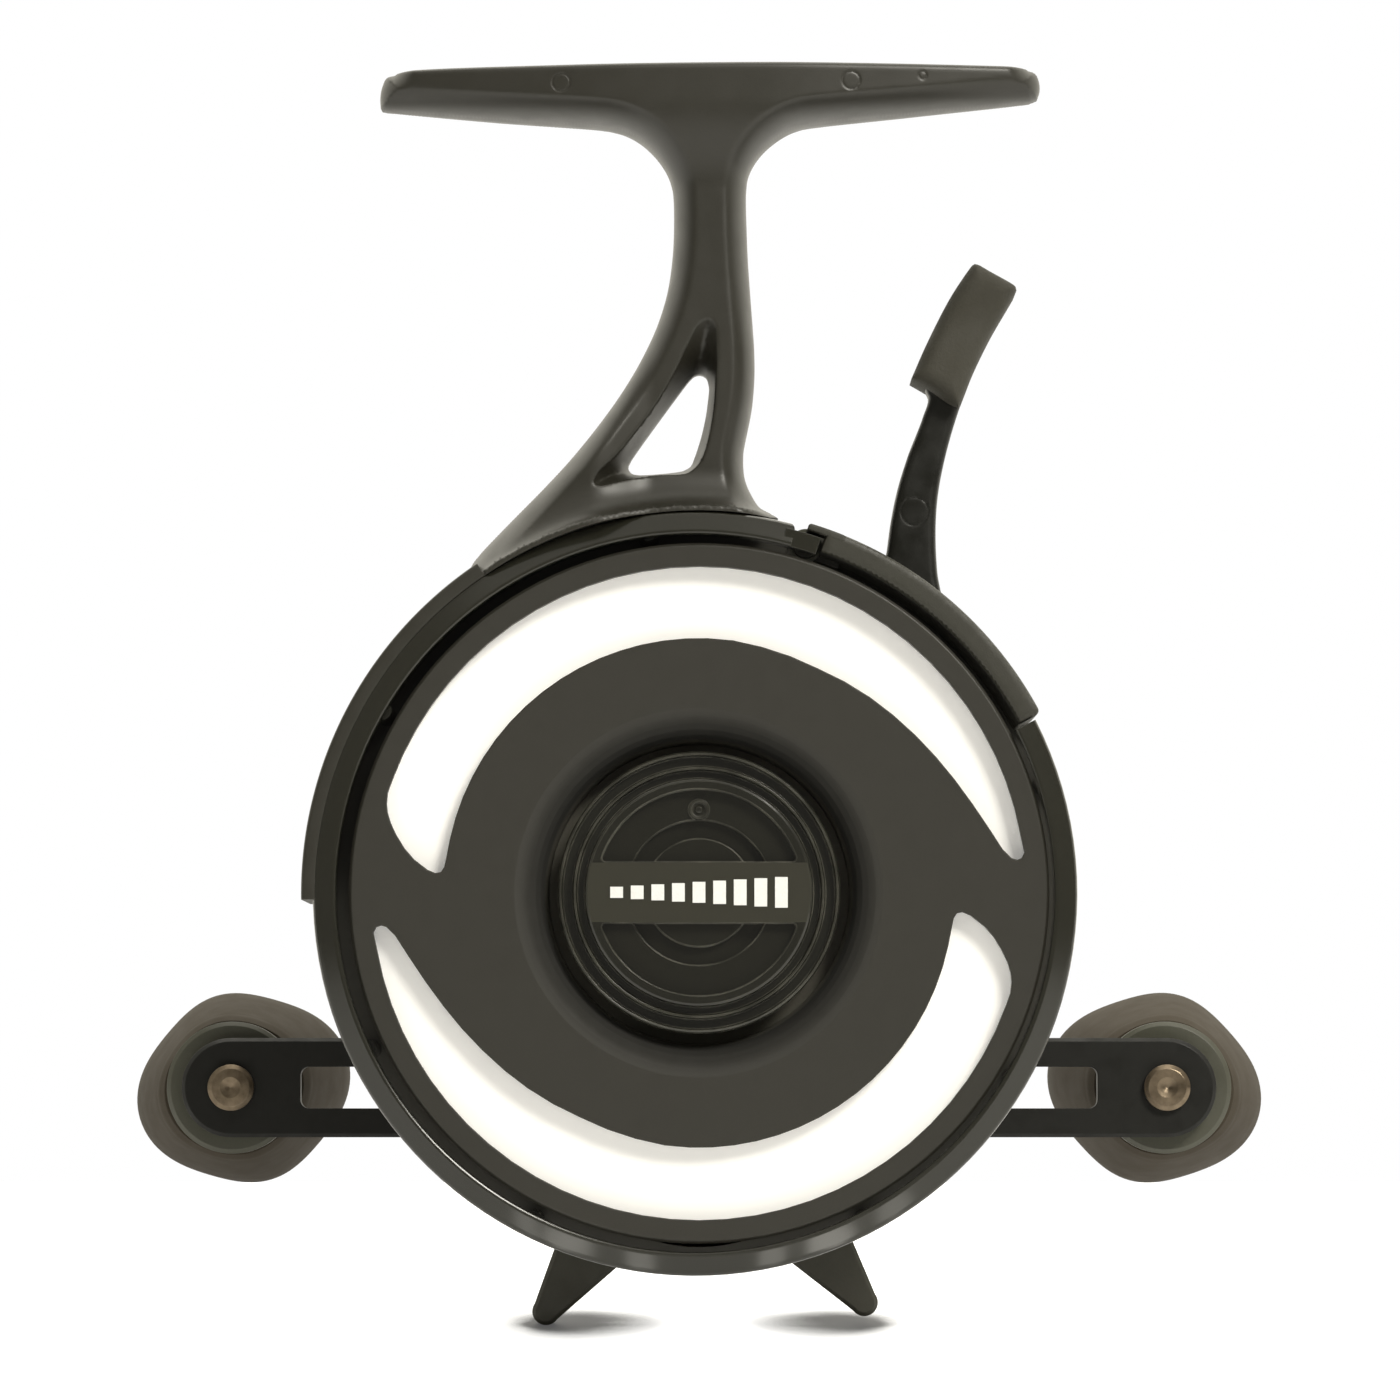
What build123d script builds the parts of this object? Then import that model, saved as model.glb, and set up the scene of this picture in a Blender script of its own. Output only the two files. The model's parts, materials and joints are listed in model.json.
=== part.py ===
from build123d import *
import os
import math

# Inline (fly-style) ice reel: geared double handle, free-fall trigger, drop-speed dial.
# Frame: origin on the rod-seat face of the foot above the spool, +Z up, +X to the right
# seen from the spool side, spool and crank axes along Y, handle on the +Y side.
# All lengths in millimetres.

os.makedirs("parts", exist_ok=True)

# ---- driving dimensions -------------------------------------------------
ZS = -75.0            # height of the spool axis
MOD = 0.5             # gear module
N_MAIN = 50
N_PINION = 20
ZC = ZS - MOD * (N_MAIN + N_PINION) / 2.0   # height of the crank axis
FACE_R = 31.5         # spool face plate radius
FACE_Y = -9.0         # front of the face plate
RING_X = -0.35        # side offset of the rim ring
RING_RI = 32.3
RING_RO = 34.4
WALL_RI = 34.95       # outer wall of the frame
WALL_RO = 35.8
DISC_R = 34.2         # rear disc of the frame
DISC_Y0, DISC_Y1 = 6.0, 9.0
REAR_Y0, REAR_Y1 = 17.4, 19.4
POST_R = 2.0          # fixed spool post
DIAL_R = 12.7
PIV_X, PIV_Z = 9.65, ZS + 31.56   # trigger pivot
PIN_R = 0.6           # trigger pivot pin radius
KNOB_X = 44.5         # knob post distance from the crank axis
ARM_Y0, ARM_Y1 = 32.6, 35.0
RUN = 0.05            # running clearance


# ---- helpers --------------------------------------------------------------
def slab(sk, y0, y1, x=0.0, z=0.0):
    pl = Plane(origin=(x, y1, z), x_dir=(1, 0, 0), z_dir=(0, -1, 0))
    return extrude(pl * sk, amount=(y1 - y0))


def poly(pts):
    return make_face(Polyline(*[(p[0], p[1]) for p in pts], close=True))


def lathe(pts, x=0.0, z=ZS):
    pl = Plane(origin=(x, 0, z), x_dir=(1, 0, 0), z_dir=(0, 0, 1))
    return revolve(pl * poly(pts), Axis((x, 0, z), (0, 1, 0)), 360)


def tube(ri, ro, y0, y1, x=0.0, z=ZS):
    if ri <= 0:
        return lathe([(0, y0), (ro, y0), (ro, y1), (0, y1)], x, z)
    return lathe([(ri, y0), (ro, y0), (ro, y1), (ri, y1)], x, z)


def rod(r, y0, y1, x=0.0, z=ZS):
    return tube(0, r, y0, y1, x, z)


def pt(r, a):
    a = math.radians(a)
    return (r * math.cos(a), r * math.sin(a))


def sector(ri, ro, a0, a1, step=4.0):
    n = max(2, int(abs(a1 - a0) / step) + 1)
    out = [pt(ro, a0 + (a1 - a0) * i / n) for i in range(n + 1)]
    inn = [pt(ri, a1 + (a0 - a1) * i / n) for i in range(n + 1)]
    return poly(out + inn)


def arcband(ri, ro, a0, a1):
    m = 0.5 * (a0 + a1)
    o = ThreePointArc(pt(ro, a0), pt(ro, m), pt(ro, a1))
    l1 = Line(pt(ro, a1), pt(ri, a1))
    i = ThreePointArc(pt(ri, a1), pt(ri, m), pt(ri, a0))
    l2 = Line(pt(ri, a0), pt(ro, a0))
    return make_face([o, l1, i, l2])


def pie(r, a0, a1):
    pts = [(0, 0)] + [pt(r, a0 + (a1 - a0) * i / 24.0) for i in range(25)]
    return poly(pts)


def moved(sk, dx, dz):
    return Pos(dx, dz) * sk


def save(name, shape):
    if isinstance(shape, (list, tuple)):
        shape = Compound(children=list(shape))
    shape.label = name
    export_step(shape, "parts/" + name + ".step")


def gear_face(n, m, thin, bore, shift=0.0):
    """Spur gear outline: involute flanks, pressure angle 20 degrees."""
    rp = m * n / 2.0
    rb = rp * math.cos(math.radians(20))
    ra = rp + m
    rf = rp - 1.25 * m
    inv = math.tan(math.radians(20)) - math.radians(20)
    half = math.pi / (2 * n) - thin / (2 * rp)
    pts = []

    def off(r):
        if r <= rb:
            return half + inv
        al = math.acos(rb / r)
        return half + inv - (math.tan(al) - al)

    r0 = max(rb, rf)
    rs = [rf] if rf < rb else []
    rs += [r0 + (ra - r0) * i / 4.0 for i in range(5)]
    for k in range(n):
        c = 2 * math.pi * k / n + shift
        for r in rs:
            a = c - off(r)
            pts.append((r * math.cos(a), r * math.sin(a)))
        for r in reversed(rs):
            a = c + off(r)
            pts.append((r * math.cos(a), r * math.sin(a)))
    f = poly(pts)
    if bore > 0:
        f = f - Circle(bore)
    return f


def coil(r, wire, y0, y1, turns, x, z):
    pl = Plane(origin=(x, y0, z), x_dir=(1, 0, 0), z_dir=(0, 1, 0))
    h = pl * Helix(pitch=(y1 - y0) / turns, height=(y1 - y0), radius=r)
    start = h @ 0
    prof = Plane(origin=start, z_dir=h % 0) * Circle(wire)
    return sweep(prof, path=h)


# ---- frame: foot, stem, wall, disc and gearbox -----------------------------
STEM_L = [(-28.97, -3.2), (-28.5, -3.39), (-19.05, -4.24), (-8.11, -5.05), (-6.75, -5.43), (-5.29, -6.25),
          (-4.38, -7.06), (-3.45, -8.19), (-2.75, -9.46), (-2.42, -10.56), (-2.29, -14.48),
          (-2.51, -17.76), (-2.86, -19.95), (-3.59, -22.5), (-5.31, -26.33), (-7.03, -29.24),
          (-9.13, -32.16), (-12.12, -35.81), (-13.98, -37.81), (-17.96, -41.87),
          (-20.0, -44.1)]
STEM_R = [(6.0, -40.2), (5.4, -39.7), (4.75, -38.54), (4.17, -37.08), (4.04, -36.35),
          (4.06, -34.71), (4.88, -30.25), (5.07, -27.6), (5.05, -25.51), (4.41, -15.94),
          (4.31, -10.83), (4.48, -9.46), (5.16, -8.01), (5.87, -7.09), (6.84, -6.2),
          (8.48, -5.2), (9.48, -4.86), (30.4, -2.58)]
base_arc = [(p[0], p[1] + ZS) for p in [pt(35.1, a) for a in range(122, 80, -4)]]
# upright stem with chamfered long edges
side_l = Spline(*STEM_L[9:])
side_r = Spline(*STEM_R[:11])
arc_pts = [STEM_L[-1]] + base_arc + [STEM_R[0]]
stem_face = make_face([side_l, Polyline(*arc_pts), side_r, Line(STEM_R[10], STEM_L[9])])
stem = slab(stem_face, -5.5, 5.5)
for c in (1.9, 1.6, 1.2):
    try:
        edges = [e for e in stem.edges() if abs(abs(e.center().Y) - 5.5) < 1e-3 and e.length > 25.0
                 and (e.center().X < -3.0 or e.center().X > 3.0)]
        stem = fillet(edges, c)
        print("stem fillet", c)
        break
    except Exception as ex:
        print("stem chamfer", c, "skipped", ex)

# foot: flat seat, thin edges, underside bowed down to the middle
foot_secs = []
for fx, hw, edge, deep in [(-29.2, 2.6, 1.3, 2.9), (-28.7, 3.6, 1.2, 3.3), (-26.0, 4.6, 1.3, 3.62), (-19.0, 6.0, 1.8, 4.24),
                           (-8.0, 7.25, 3.0, 5.05), (1.0, 7.4, 3.4, 5.6), (9.0, 7.25, 2.9, 4.9),
                           (20.0, 5.9, 1.7, 3.7), (27.0, 4.7, 1.0, 2.95), (30.6, 3.8, 0.85, 2.5), (31.1, 2.8, 0.9, 2.2)]:
    pl = Plane(origin=(fx, 0, 0), x_dir=(0, 1, 0), z_dir=(1, 0, 0))
    bowl = [(hw * math.cos(math.radians(t)), -edge - (deep - edge) * math.sin(math.radians(t)) ** 0.9) for t in (0, 20, 40, 65, 90, 115, 140, 160, 180)]
    pts = [(-hw, 0.0), (hw, 0.0)] + bowl
    foot_secs.append(pl * poly(pts))
foot = loft(foot_secs, ruled=True)
neck_face = make_face([Spline((-9.6, -4.6), (-6.75, -5.43), (-4.38, -7.06), (-2.9, -9.2), (-2.42, -10.9)),
                       Line((-2.42, -10.9), (4.31, -10.9)),
                       Spline((4.31, -10.9), (4.6, -9.2), (5.87, -7.09), (8.48, -5.2), (11.0, -4.4)),
                       Line((11.0, -4.4), (11.0, -3.4)), Line((11.0, -3.4), (-9.6, -3.4)), Line((-9.6, -3.4), (-9.6, -4.6))])
neck = slab(neck_face, -4.2, 4.2)

frame = stem + foot + neck
# outer wall and the bridge from the stem back to the disc
frame += slab(arcband(WALL_RI, WALL_RO, 80, 181), -8.8, DISC_Y1, 0, ZS)
frame += slab(arcband(34.0, 37.4, 85, 116), -5.5, DISC_Y1, 0, ZS)
frame += slab(arcband(33.0, WALL_RO, 80, 181), DISC_Y0, DISC_Y1, 0, ZS)
# rear disc
frame += slab(Circle(DISC_R), DISC_Y0, DISC_Y1, 0, ZS)
# gearbox bulge
bulge = slab(Pos(0, ZS) * Circle(16.0) + Pos(0, ZC) * Circle(16.4) +
             poly([(-16.0, ZS), (-16.4, ZC), (16.4, ZC), (16.0, ZS)]), DISC_Y1 - 0.5, REAR_Y1)
try:
    be = [e for e in bulge.edges() if abs(e.center().Y - REAR_Y1) < 1e-3]
    bulge = fillet(be, 2.2)
except Exception as ex:
    print("bulge fillet skipped", ex)
frame += bulge
cav = slab(Pos(0, ZS) * Circle(14.2) + Pos(0, ZC) * Circle(14.6) +
           poly([(-14.2, ZS), (-14.6, ZC), (14.6, ZC), (14.2, ZS)]), DISC_Y0 - 1, REAR_Y0)
frame -= cav
# crank boss
frame += tube(6.5, 8.3, REAR_Y0, 25.4, 0, ZC)
frame -= rod(6.5, REAR_Y0 - 0.2, 26.0, 0, ZC)
frame += lathe([(8.0, 19.2), (10.2, 19.2), (8.3, 21.6), (8.0, 21.6)], 0, ZC)
# spool post hole
frame -= rod(POST_R, REAR_Y0 - 0.5, REAR_Y1 + 0.5)
# spring post holes
for sx in (-9.8, 9.8):
    frame -= rod(0.9, REAR_Y0 - 0.2, 18.6, sx, ZS)
# channel for the trigger tail
ch = [(PIV_X + 1.65 * math.cos(math.radians(a)), PIV_Z + 1.65 * math.sin(math.radians(a))) for a in range(-9, 164, 12)]
frame -= slab(poly(ch + [(1.75, ZS + 12.0), (8.2, ZS + 10.2)]), DISC_Y0 - 0.5, 7.9)
frame -= rod(PIN_R, 7.0, 8.6, PIV_X, PIV_Z)
# light-weight pocket through the stem
po = [(0.79, -23.1), (1.60, -24.2), (1.54, -28.83), (0.6, -34.8), (-0.9, -36.88), (-6.15, -37.52),
      (-9.3, -38.0), (-9.14, -36.94), (-5.76, -33.26), (-2.02, -27.29)]
th = [(0.10, -27.9), (0.88, -28.6), (0.79, -30.4), (0.23, -33.4), (-0.9, -36.2), (-4.4, -36.6),
      (-5.9, -36.75), (-6.4, -35.9), (-4.6, -33.2), (-1.6, -29.2)]
for sgn in (-1, 1):
    a = Plane(origin=(0, sgn * 5.7, 0), x_dir=(1, 0, 0), z_dir=(0, -1, 0)) * poly(po)
    b = Plane(origin=(0, sgn * 0.6, 0), x_dir=(1, 0, 0), z_dir=(0, -1, 0)) * poly(th)
    frame -= loft([a, b], ruled=True)
frame -= slab(poly(th), -1.0, 1.0)
# bosses for the gear plate screws
for a in (45, 135, 225, 315):
    bx, bz = pt(26.0, a)
    frame += rod(2.4, 8.9, 11.4, bx, ZS + bz)
    frame -= rod(0.8, 5.5, 10.8, bx, ZS + bz)
# clearance holes for the rim ring screws
RING_A = (18, 330, 297, 243, 205, 150, 98)
for a in RING_A:
    bx, bz = pt(33.1, a)
    frame -= rod(0.5, 5.5, 9.5, bx, ZS + bz)
save("frame", frame)

# ---- rim ring with pillars -------------------------------------------------
rprof = [(RING_RI, -9.4), (RING_RI + 0.06, -9.54), (RING_RI + 0.2, -9.6), (RING_RI + 0.4, -9.58), (RING_RO - 0.45, -8.95),
         (RING_RO - 0.2, -8.8), (RING_RO - 0.06, -8.6), (RING_RO, -8.3), (RING_RO, -6.0), (RING_RI, -6.0)]
pl = Plane(origin=(RING_X, 0, ZS), x_dir=(1, 0, 0), z_dir=(0, 0, 1))
ring = revolve(pl * poly(rprof), Axis((RING_X, 0, ZS), (0, 1, 0)), 360)
ring -= slab(pie(40, 27.2, 75.2), -12, -2, 0, ZS)
lx, lz = pt(33.65, 76.4)
ring -= slab(sector(33.65, 35.4, 74.6, 76.45, 0.6) - Pos(lx, lz) * Circle(0.72), -12, -2, 0, ZS)
ring += slab(arcband(32.2, 33.75, 71.0, 76.5), -9.4, -6.0, 0, ZS)
for a in RING_A:
    bx, bz = pt(33.1, a)
    ring += rod(0.9, -6.2, DISC_Y0, bx, ZS + bz)
    ring -= rod(0.5, -1.0, DISC_Y0 + 1, bx, ZS + bz)
ring -= rod(PIN_R, -8.4, -5.0, PIV_X, PIV_Z)
save("rim_ring", ring)

scr = []
for a in RING_A:
    bx, bz = pt(33.1, a)
    scr.append(rod(0.5, -0.6, 9.0, bx, ZS + bz) + rod(1.05, 9.0, 9.8, bx, ZS + bz)
               - slab(Rectangle(0.35, 3), 9.5, 10, bx, ZS + bz))
save("rim_ring_screws", scr)

# ---- gear plate -------------------------------------------------------------
plate = slab(Circle(29.5), 4.0, 6.0, 0, ZS)
plate += rod(6.0, 5.9, 7.5, 0, ZC)
plate -= rod(6.2, 3, 7)
plate -= rod(4.5, 4.7, 8.0, 0, ZC)
for a in (45, 135, 225, 315):
    bx, bz = pt(26.0, a)
    plate -= rod(0.8, 3, 7, bx, ZS + bz)
    plate -= rod(1.7, 3.5, 5.0, bx, ZS + bz)
for a in (0, 90, 180):
    bx, bz = pt(18.0, a)
    plate -= rod(2.6, 3, 4.8, bx, ZS + bz)
save("gear_plate", plate)
scr = []
for a in (45, 135, 225, 315):
    bx, bz = pt(26.0, a)
    scr.append(rod(1.55, 4.1, 5.0, bx, ZS + bz) + rod(0.8, 5.0, 10.4, bx, ZS + bz)
               - slab(Rectangle(0.4, 4), 3.9, 4.5, bx, ZS + bz))
save("gear_plate_screws", scr)

# ---- spool post, clip ---------------------------------------------------------
post = lathe([(0, -7.9), (1.3, -7.9), (1.5, -7.75), (1.5, -7.7), (1.1, -7.7), (1.1, -7.3), (1.5, -7.3), (1.5, -5.2),
              (POST_R, -5.2), (POST_R, REAR_Y1), (3.6, REAR_Y1), (3.6, 20.1), (3.3, 20.4), (0, 20.4)])
post -= slab(Rectangle(0.8, 8), 20.0, 21.0, 0, ZS)
save("spool_post", post)
save("dial_clip", slab(Circle(2.2) - Circle(1.1) - Pos(0, -1.6) * Rectangle(1.4, 2.0), -7.7, -7.3, 0, ZS))

# ---- spool ------------------------------------------------------------------
# face plate: outer skirt, window band, rounded roll into the dial well
fprof = [(FACE_R - 0.25, FACE_Y), (FACE_R, FACE_Y + 0.25), (FACE_R, -7.2), (30.7, -7.2), (30.7, -7.6), (15.5, -7.6),
         (15.0, -7.2), (14.9, -6.6), (14.9, -1.3), (13.6, -1.3), (13.6, -5.0), (13.68, -6.0), (13.9, -6.9), (14.25, -7.65),
         (14.7, -8.25), (15.25, -8.65), (15.9, -8.92), (16.6, FACE_Y)]
face = lathe(fprof)
CRES = ([pt(29.4, a) for a in range(160, 9, -5)] +
        [(29.28, 3.6), (29.02, 3.1), (28.6, 2.95), (28.1, 3.1), (27.3, 3.9), (26.09, 5.77), (24.59, 8.0), (23.01, 10.16),
         (21.31, 12.23), (19.47, 14.17), (17.48, 15.98), (15.36, 17.6), (13.08, 19.01), (10.67, 20.19),
         (8.22, 21.28), (5.68, 22.11), (3.07, 22.7)] +
        [pt(22.91, a) for a in range(88, 172, 5)] +
        [(-22.75, 3.0), (-22.9, 2.3), (-23.2, 1.85), (-23.7, 1.75), (-24.4, 2.05), (-25.64, 3.01), (-26.5, 4.0), (-27.22, 5.18),
         (-27.75, 6.3), (-28.02, 7.2), (-28.1, 8.0), (-28.0, 9.0)])
cres = poly(CRES)
face -= slab(cres, -10, -7, 0, ZS)
face -= slab(Rot(0, 0, 180) * cres, -10, -7, 0, ZS)
for a in (30, 150, 270):
    bx, bz = pt(17.5, a)
    face += rod(2.0, -7.8, -1.3, bx, ZS + bz)
    face -= rod(0.8, -6.0, -1.0, bx, ZS + bz)
save("spool_face", face)
save("spool_flange_front", lathe([(20.2, -7.2), (30.7, -7.2), (31.2, -6.7), (31.2, -6.2), (30.2, -5.6), (20.2, -5.6)]))
drum = lathe([(22.5, -5.6), (24.0, -5.6), (24.0, 1.8), (22.5, 1.8), (22.5, 0.3), (5.4, 0.3), (5.4, 4.6), (4.0, 4.6),
              (4.0, -1.3), (22.5, -1.3)])
drum -= slab(Rectangle(2.4, 14), 3.2, 5.0, 0, ZS)
for a in (30, 150, 270):
    bx, bz = pt(17.5, a)
    drum -= rod(0.8, -2, 1, bx, ZS + bz)
for k in range(6):
    bx, bz = pt(12.2, 60 * k)
    drum -= rod(2.6, -0.2, 1, bx, ZS + bz)
save("spool_drum", drum)
save("spool_flange_rear", lathe([(20.2, 1.8), (30.5, 1.8), (31.5, 2.4), (31.5, 3.0), (31.2, 3.3), (20.2, 3.3)]))
scr = []
for a in (30, 150, 270):
    bx, bz = pt(17.5, a)
    scr.append(rod(0.8, -5.6, 0.3, bx, ZS + bz) + rod(1.6, 0.3, 1.3, bx, ZS + bz) - slab(Rectangle(0.4, 4), 0.9, 1.5, bx, ZS + bz))
save("spool_screws", scr)
save("spool_brake_disc", tube(6.0, 12.4, -2.1, -1.3))


def bearing(ri, ro, y0, y1, x, z):
    w = (ro - ri)
    inner = tube(ri, ri + 0.28 * w, y0, y1, x, z)
    outer = tube(ro - 0.28 * w, ro, y0, y1, x, z)
    shield = tube(ri + 0.28 * w, ro - 0.28 * w, y0 + 0.15, y1 - 0.15, x, z)
    return inner + outer + shield


save("spool_bearing_front", bearing(POST_R + 0.03, 4.0, -1.2, 0.8, 0, ZS))
save("spool_bearing_rear", bearing(POST_R + 0.03, 4.0, 1.1, 3.1, 0, ZS))

# ---- drop-speed dial and magnet carrier ------------------------------------
dome = [(0, -9.5), (10.0, -9.5), (10.18, -9.4), (10.25, -9.15), (10.3, -8.3), (10.95, -8.3), (11.0, -8.95), (11.1, -9.1),
        (11.25, -9.1), (11.35, -8.95), (11.4, -8.05), (12.25, -8.05), (12.3, -8.85), (12.4, -8.98), (12.55, -8.95), (DIAL_R, -8.75)]
dial = lathe(dome + [(DIAL_R, -5.2), (11.8, -5.2), (11.8, -7.0), (3.8, -7.0), (3.8, -5.3), (1.55, -5.3), (1.55, -6.9),
                     (2.6, -6.9), (2.6, -7.9), (0, -7.9)])
BAR_H = 5.5
segm = Circle(9.3) - Rectangle(30, BAR_H)
try:
    segm = fillet(segm.vertices(), 0.35)
except Exception as ex:
    print("pocket corner fillet skipped", ex)
dial -= slab(segm, -10, -8.5, 0, ZS)
dial -= slab((Circle(6.55) - Circle(4.87)) - Rectangle(30, BAR_H), -10, -7.7, 0, ZS)
dial += lathe([(0, -8.9), (0.3, -8.85), (0.42, -8.6), (0.6, -8.6), (0.66, -8.9), (0.85, -8.9), (0.95, -8.45), (0, -8.45)], 0, ZS + 7.45)
# two face ramps under the dial push the magnet carrier back as it turns
for s in (0, 180):
    for i in range(12):
        a0 = s + 72 + 14.0 * i
        dial += slab(sector(8.2, 10.2, a0, a0 + 14.2, 7), -7.1, -6.55 + max(0.0, 14.0 * i - 10.4) / 150.0, 0, ZS)
save("drop_dial", dial)
marks = []
for k in range(9):
    h = 1.0 + 0.22 * k
    marks.append(slab(Rectangle(1.15, h), -9.58, -9.5, -7.4 + 1.85 * k, ZS))
save("dial_marks", marks)

carrier = tube(POST_R + RUN, 10.8, -4.9, -3.5)
for s in (78, 258):
    bx, bz = pt(9.2, s)
    carrier += rod(0.7, -6.3, -4.5, bx, ZS + bz)
for k in range(6):
    bx, bz = pt(7.6, 60 * k + 30)
    carrier -= rod(1.5, -4.5, -3.0, bx, ZS + bz)
save("magnet_carrier", carrier)
save("drag_magnets", [rod(1.5, -4.5, -3.55, pt(7.6, 60 * k + 30)[0], ZS + pt(7.6, 60 * k + 30)[1]) for k in range(6)])

# ---- free-fall clutch ---------------------------------------------------------
pin = slab(gear_face(N_PINION, MOD, 0.045, 0.0, math.pi / 2 + math.pi / N_PINION), 7.0, 12.8, 0, ZS)
pin += rod(3.2, 5.0, 7.1) + rod(3.3, 12.7, 14.9) + rod(5.0, 14.8, 15.4)
for a in (90, 270):
    bx, bz = pt(3.5, a)
    pin += slab(Rectangle(1.6, 2.4), 3.6, 5.1, bx, ZS + bz)
pin -= rod(POST_R + RUN, 3, 16)
save("pinion_gear", pin)

cam = slab(arcband(6.2, 12.8, -2, 178), 11.8, 12.8, 0, ZS)
slotp = [pt(10.6, 67.2), pt(13.5, 68.2), pt(13.5, 78.4), pt(10.6, 79.4)]
cam -= slab(poly(slotp), 11, 13, 0, ZS)
for s in (38, 142):
    cx, cz = pt(10.8, s)
    tx, tz = -math.sin(math.radians(s)), math.cos(math.radians(s))
    pl = Plane(origin=(cx - 1.4 * math.cos(math.radians(s)), 0, ZS + cz - 1.4 * math.sin(math.radians(s))),
               x_dir=(tx, 0, tz), z_dir=(math.cos(math.radians(s)), 0, math.sin(math.radians(s))))
    ysg = 1.0 if pl.y_dir.Y > 0 else -1.0
    cam += extrude(pl * poly([(0, ysg * 12.7), (0.15, ysg * 12.8), (2.58, ysg * 14.3), (3.7, ysg * 14.3), (3.7, ysg * 12.7)]), amount=2.8)
save("clutch_cam", cam)

yoke = slab(arcband(3.75, 6.8, 2, 178), 13.2, 14.4, 0, ZS)
for sx in (-1, 1):
    yoke += slab(Rectangle(7.2, 3.2), 13.2, 14.4, sx * 8.0, ZS)
for s in (31, 135):
    yoke += slab(Rot(0, 0, s) * (Pos(8.6, 0) * Rectangle(7.0, 2.3)), 13.2, 14.4, 0, ZS)
for sx in (-9.8, 9.8):
    yoke -= rod(0.95, 12, 16, sx, ZS)
yoke -= slab(Circle(3.7), 12, 16, 0, ZS)
save("clutch_yoke", yoke)
save("yoke_posts", [rod(0.9, 13.05, 18.5, sx, ZS) for sx in (-9.8, 9.8)])
save("yoke_springs", [coil(1.3, 0.16, 14.65, 17.15, 3, sx, ZS) for sx in (-9.8, 9.8)])

# ---- trigger ---------------------------------------------------------------------
STALK = [(22.01, -47.4), (21.73, -46.07), (21.57, -43.89), (21.55, -41.08), (21.72, -38.9), (22.23, -36.0),
         (22.77, -33.82), (23.92, -30.19), (24.3, -29.2), (25.9, -25.6), (27.4, -22.6), (27.2, -21.4), (25.6, -20.3),
         (24.6, -20.6), (23.2, -22.6), (21.6, -26.2), (20.6, -28.9), (20.92, -29.65), (20.35, -31.64), (18.95, -35.27),
         (18.14, -37.9), (17.48, -41.08), (17.14, -43.6), (16.9, -45.3), (19.4, -47.2)]
lever = slab(poly(STALK), -2.6, 1.8)
lever += slab(arcband(32.85, 34.75, 28.4, 68.5), -9.0, 5.2, 0, ZS)
lever += slab(arcband(34.1, 34.75, 68.3, 73.4), -9.0, -5.0, 0, ZS)
lever -= slab(arcband(32.8, 33.3, 30, 66), -8.2, 6.0, 0, ZS)
lever += slab(arcband(32.1, 34.75, 67.0, 72.6), -2.6, 1.4, 0, ZS)
lever += slab(arcband(32.1, 34.75, 67.0, 72.6), 3.6, 5.2, 0, ZS)
lever += rod(1.15, -5.7, 7.5, PIV_X, PIV_Z)
tail = [pt(34.1, 72.4), pt(34.1, 73.6), pt(33.0, 75.0), pt(12.0, 78.5), pt(10.9, 73.0), pt(12.0, 67.5), pt(33.0, 71.0)]
lever += slab(poly(tail), 6.3, 7.5, 0, ZS)
tpx, tpz = pt(12.0, 73.0)
lever += rod(0.8, 7.4, 12.9, tpx, ZS + tpz)
lever -= rod(PIN_R + RUN, -9.5, 9.0, PIV_X, PIV_Z)
save("trigger_lever", lever)
save("trigger_pivot_pin", rod(PIN_R, -8.4, 8.6, PIV_X, PIV_Z))
PAD = [(23.56, -30.82), (23.85, -30.37), (24.99, -27.48), (26.65, -24.04), (28.59, -20.69), (28.81, -20.15), (28.76, -19.84),
       (28.4, -19.52), (26.41, -18.38), (25.33, -17.82), (24.96, -17.81), (23.19, -20.24), (20.56, -25.3), (19.29, -28.2), (20.98, -29.28)]
pad = slab(poly(PAD), -5.6, 4.8)
pad -= slab(poly(STALK), -2.6, 1.8)
save("trigger_pad", pad)
spr = tube(1.2, 1.5, -4.7, -4.4, PIV_X, PIV_Z) + tube(1.2, 1.5, -4.0, -3.7, PIV_X, PIV_Z) + tube(1.2, 1.5, -3.3, -3.0, PIV_X, PIV_Z)
spr += slab(Pos(0, 1.35) * Rectangle(0.3, 0.3), -4.6, -3.1, PIV_X, PIV_Z)
save("trigger_spring", spr)

# ---- crank ------------------------------------------------------------------------
save("crank_bearing_inner", bearing(POST_R + 0.03, 4.5, 4.8, 7.4, 0, ZC))
shaft = lathe([(0, 4.9), (1.8, 4.9), (2.0, 5.1), (2.0, 7.7), (5.2, 7.7), (5.2, 8.2), (2.9, 8.2), (2.9, 38.6), (2.5, 39.0), (0, 39.0)], 0, ZC)
shaft -= slab(Pos(0, 4.3) * Rectangle(10, 4) + Pos(0, -4.3) * Rectangle(10, 4), 31.0, 40, 0, ZC)
shaft -= rod(0.8, 36.0, 40, 0, ZC)
save("crank_shaft", shaft)
gear = slab(gear_face(N_MAIN, MOD, 0.045, 2.9, math.pi / 2), 8.7, 11.4, 0, ZC)
gear -= tube(2.0, 9.2, 9.9, 12, 0, ZC)
for k in range(6):
    gx, gz = pt(6.2, 60 * k + 30)
    gear -= rod(1.6, 8, 12, gx, ZC + gz)
save("main_gear", gear)
save("drag_washers", [tube(2.9, 5.2, 8.2, 8.7, 0, ZC), tube(2.9, 9.1, 9.9, 10.4, 0, ZC)])
save("pressure_washer", tube(2.9, 9.1, 10.4, 11.3, 0, ZC) + tube(2.9, 4.4, 11.2, 12.1, 0, ZC))
save("drag_spring_washers", [lathe([(2.9, 12.1), (5.6, 12.45), (5.6, 12.75), (2.9, 12.4)], 0, ZC),
                             lathe([(2.9, 13.1), (5.6, 12.75), (5.6, 13.05), (2.9, 13.4)], 0, ZC)])
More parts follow.
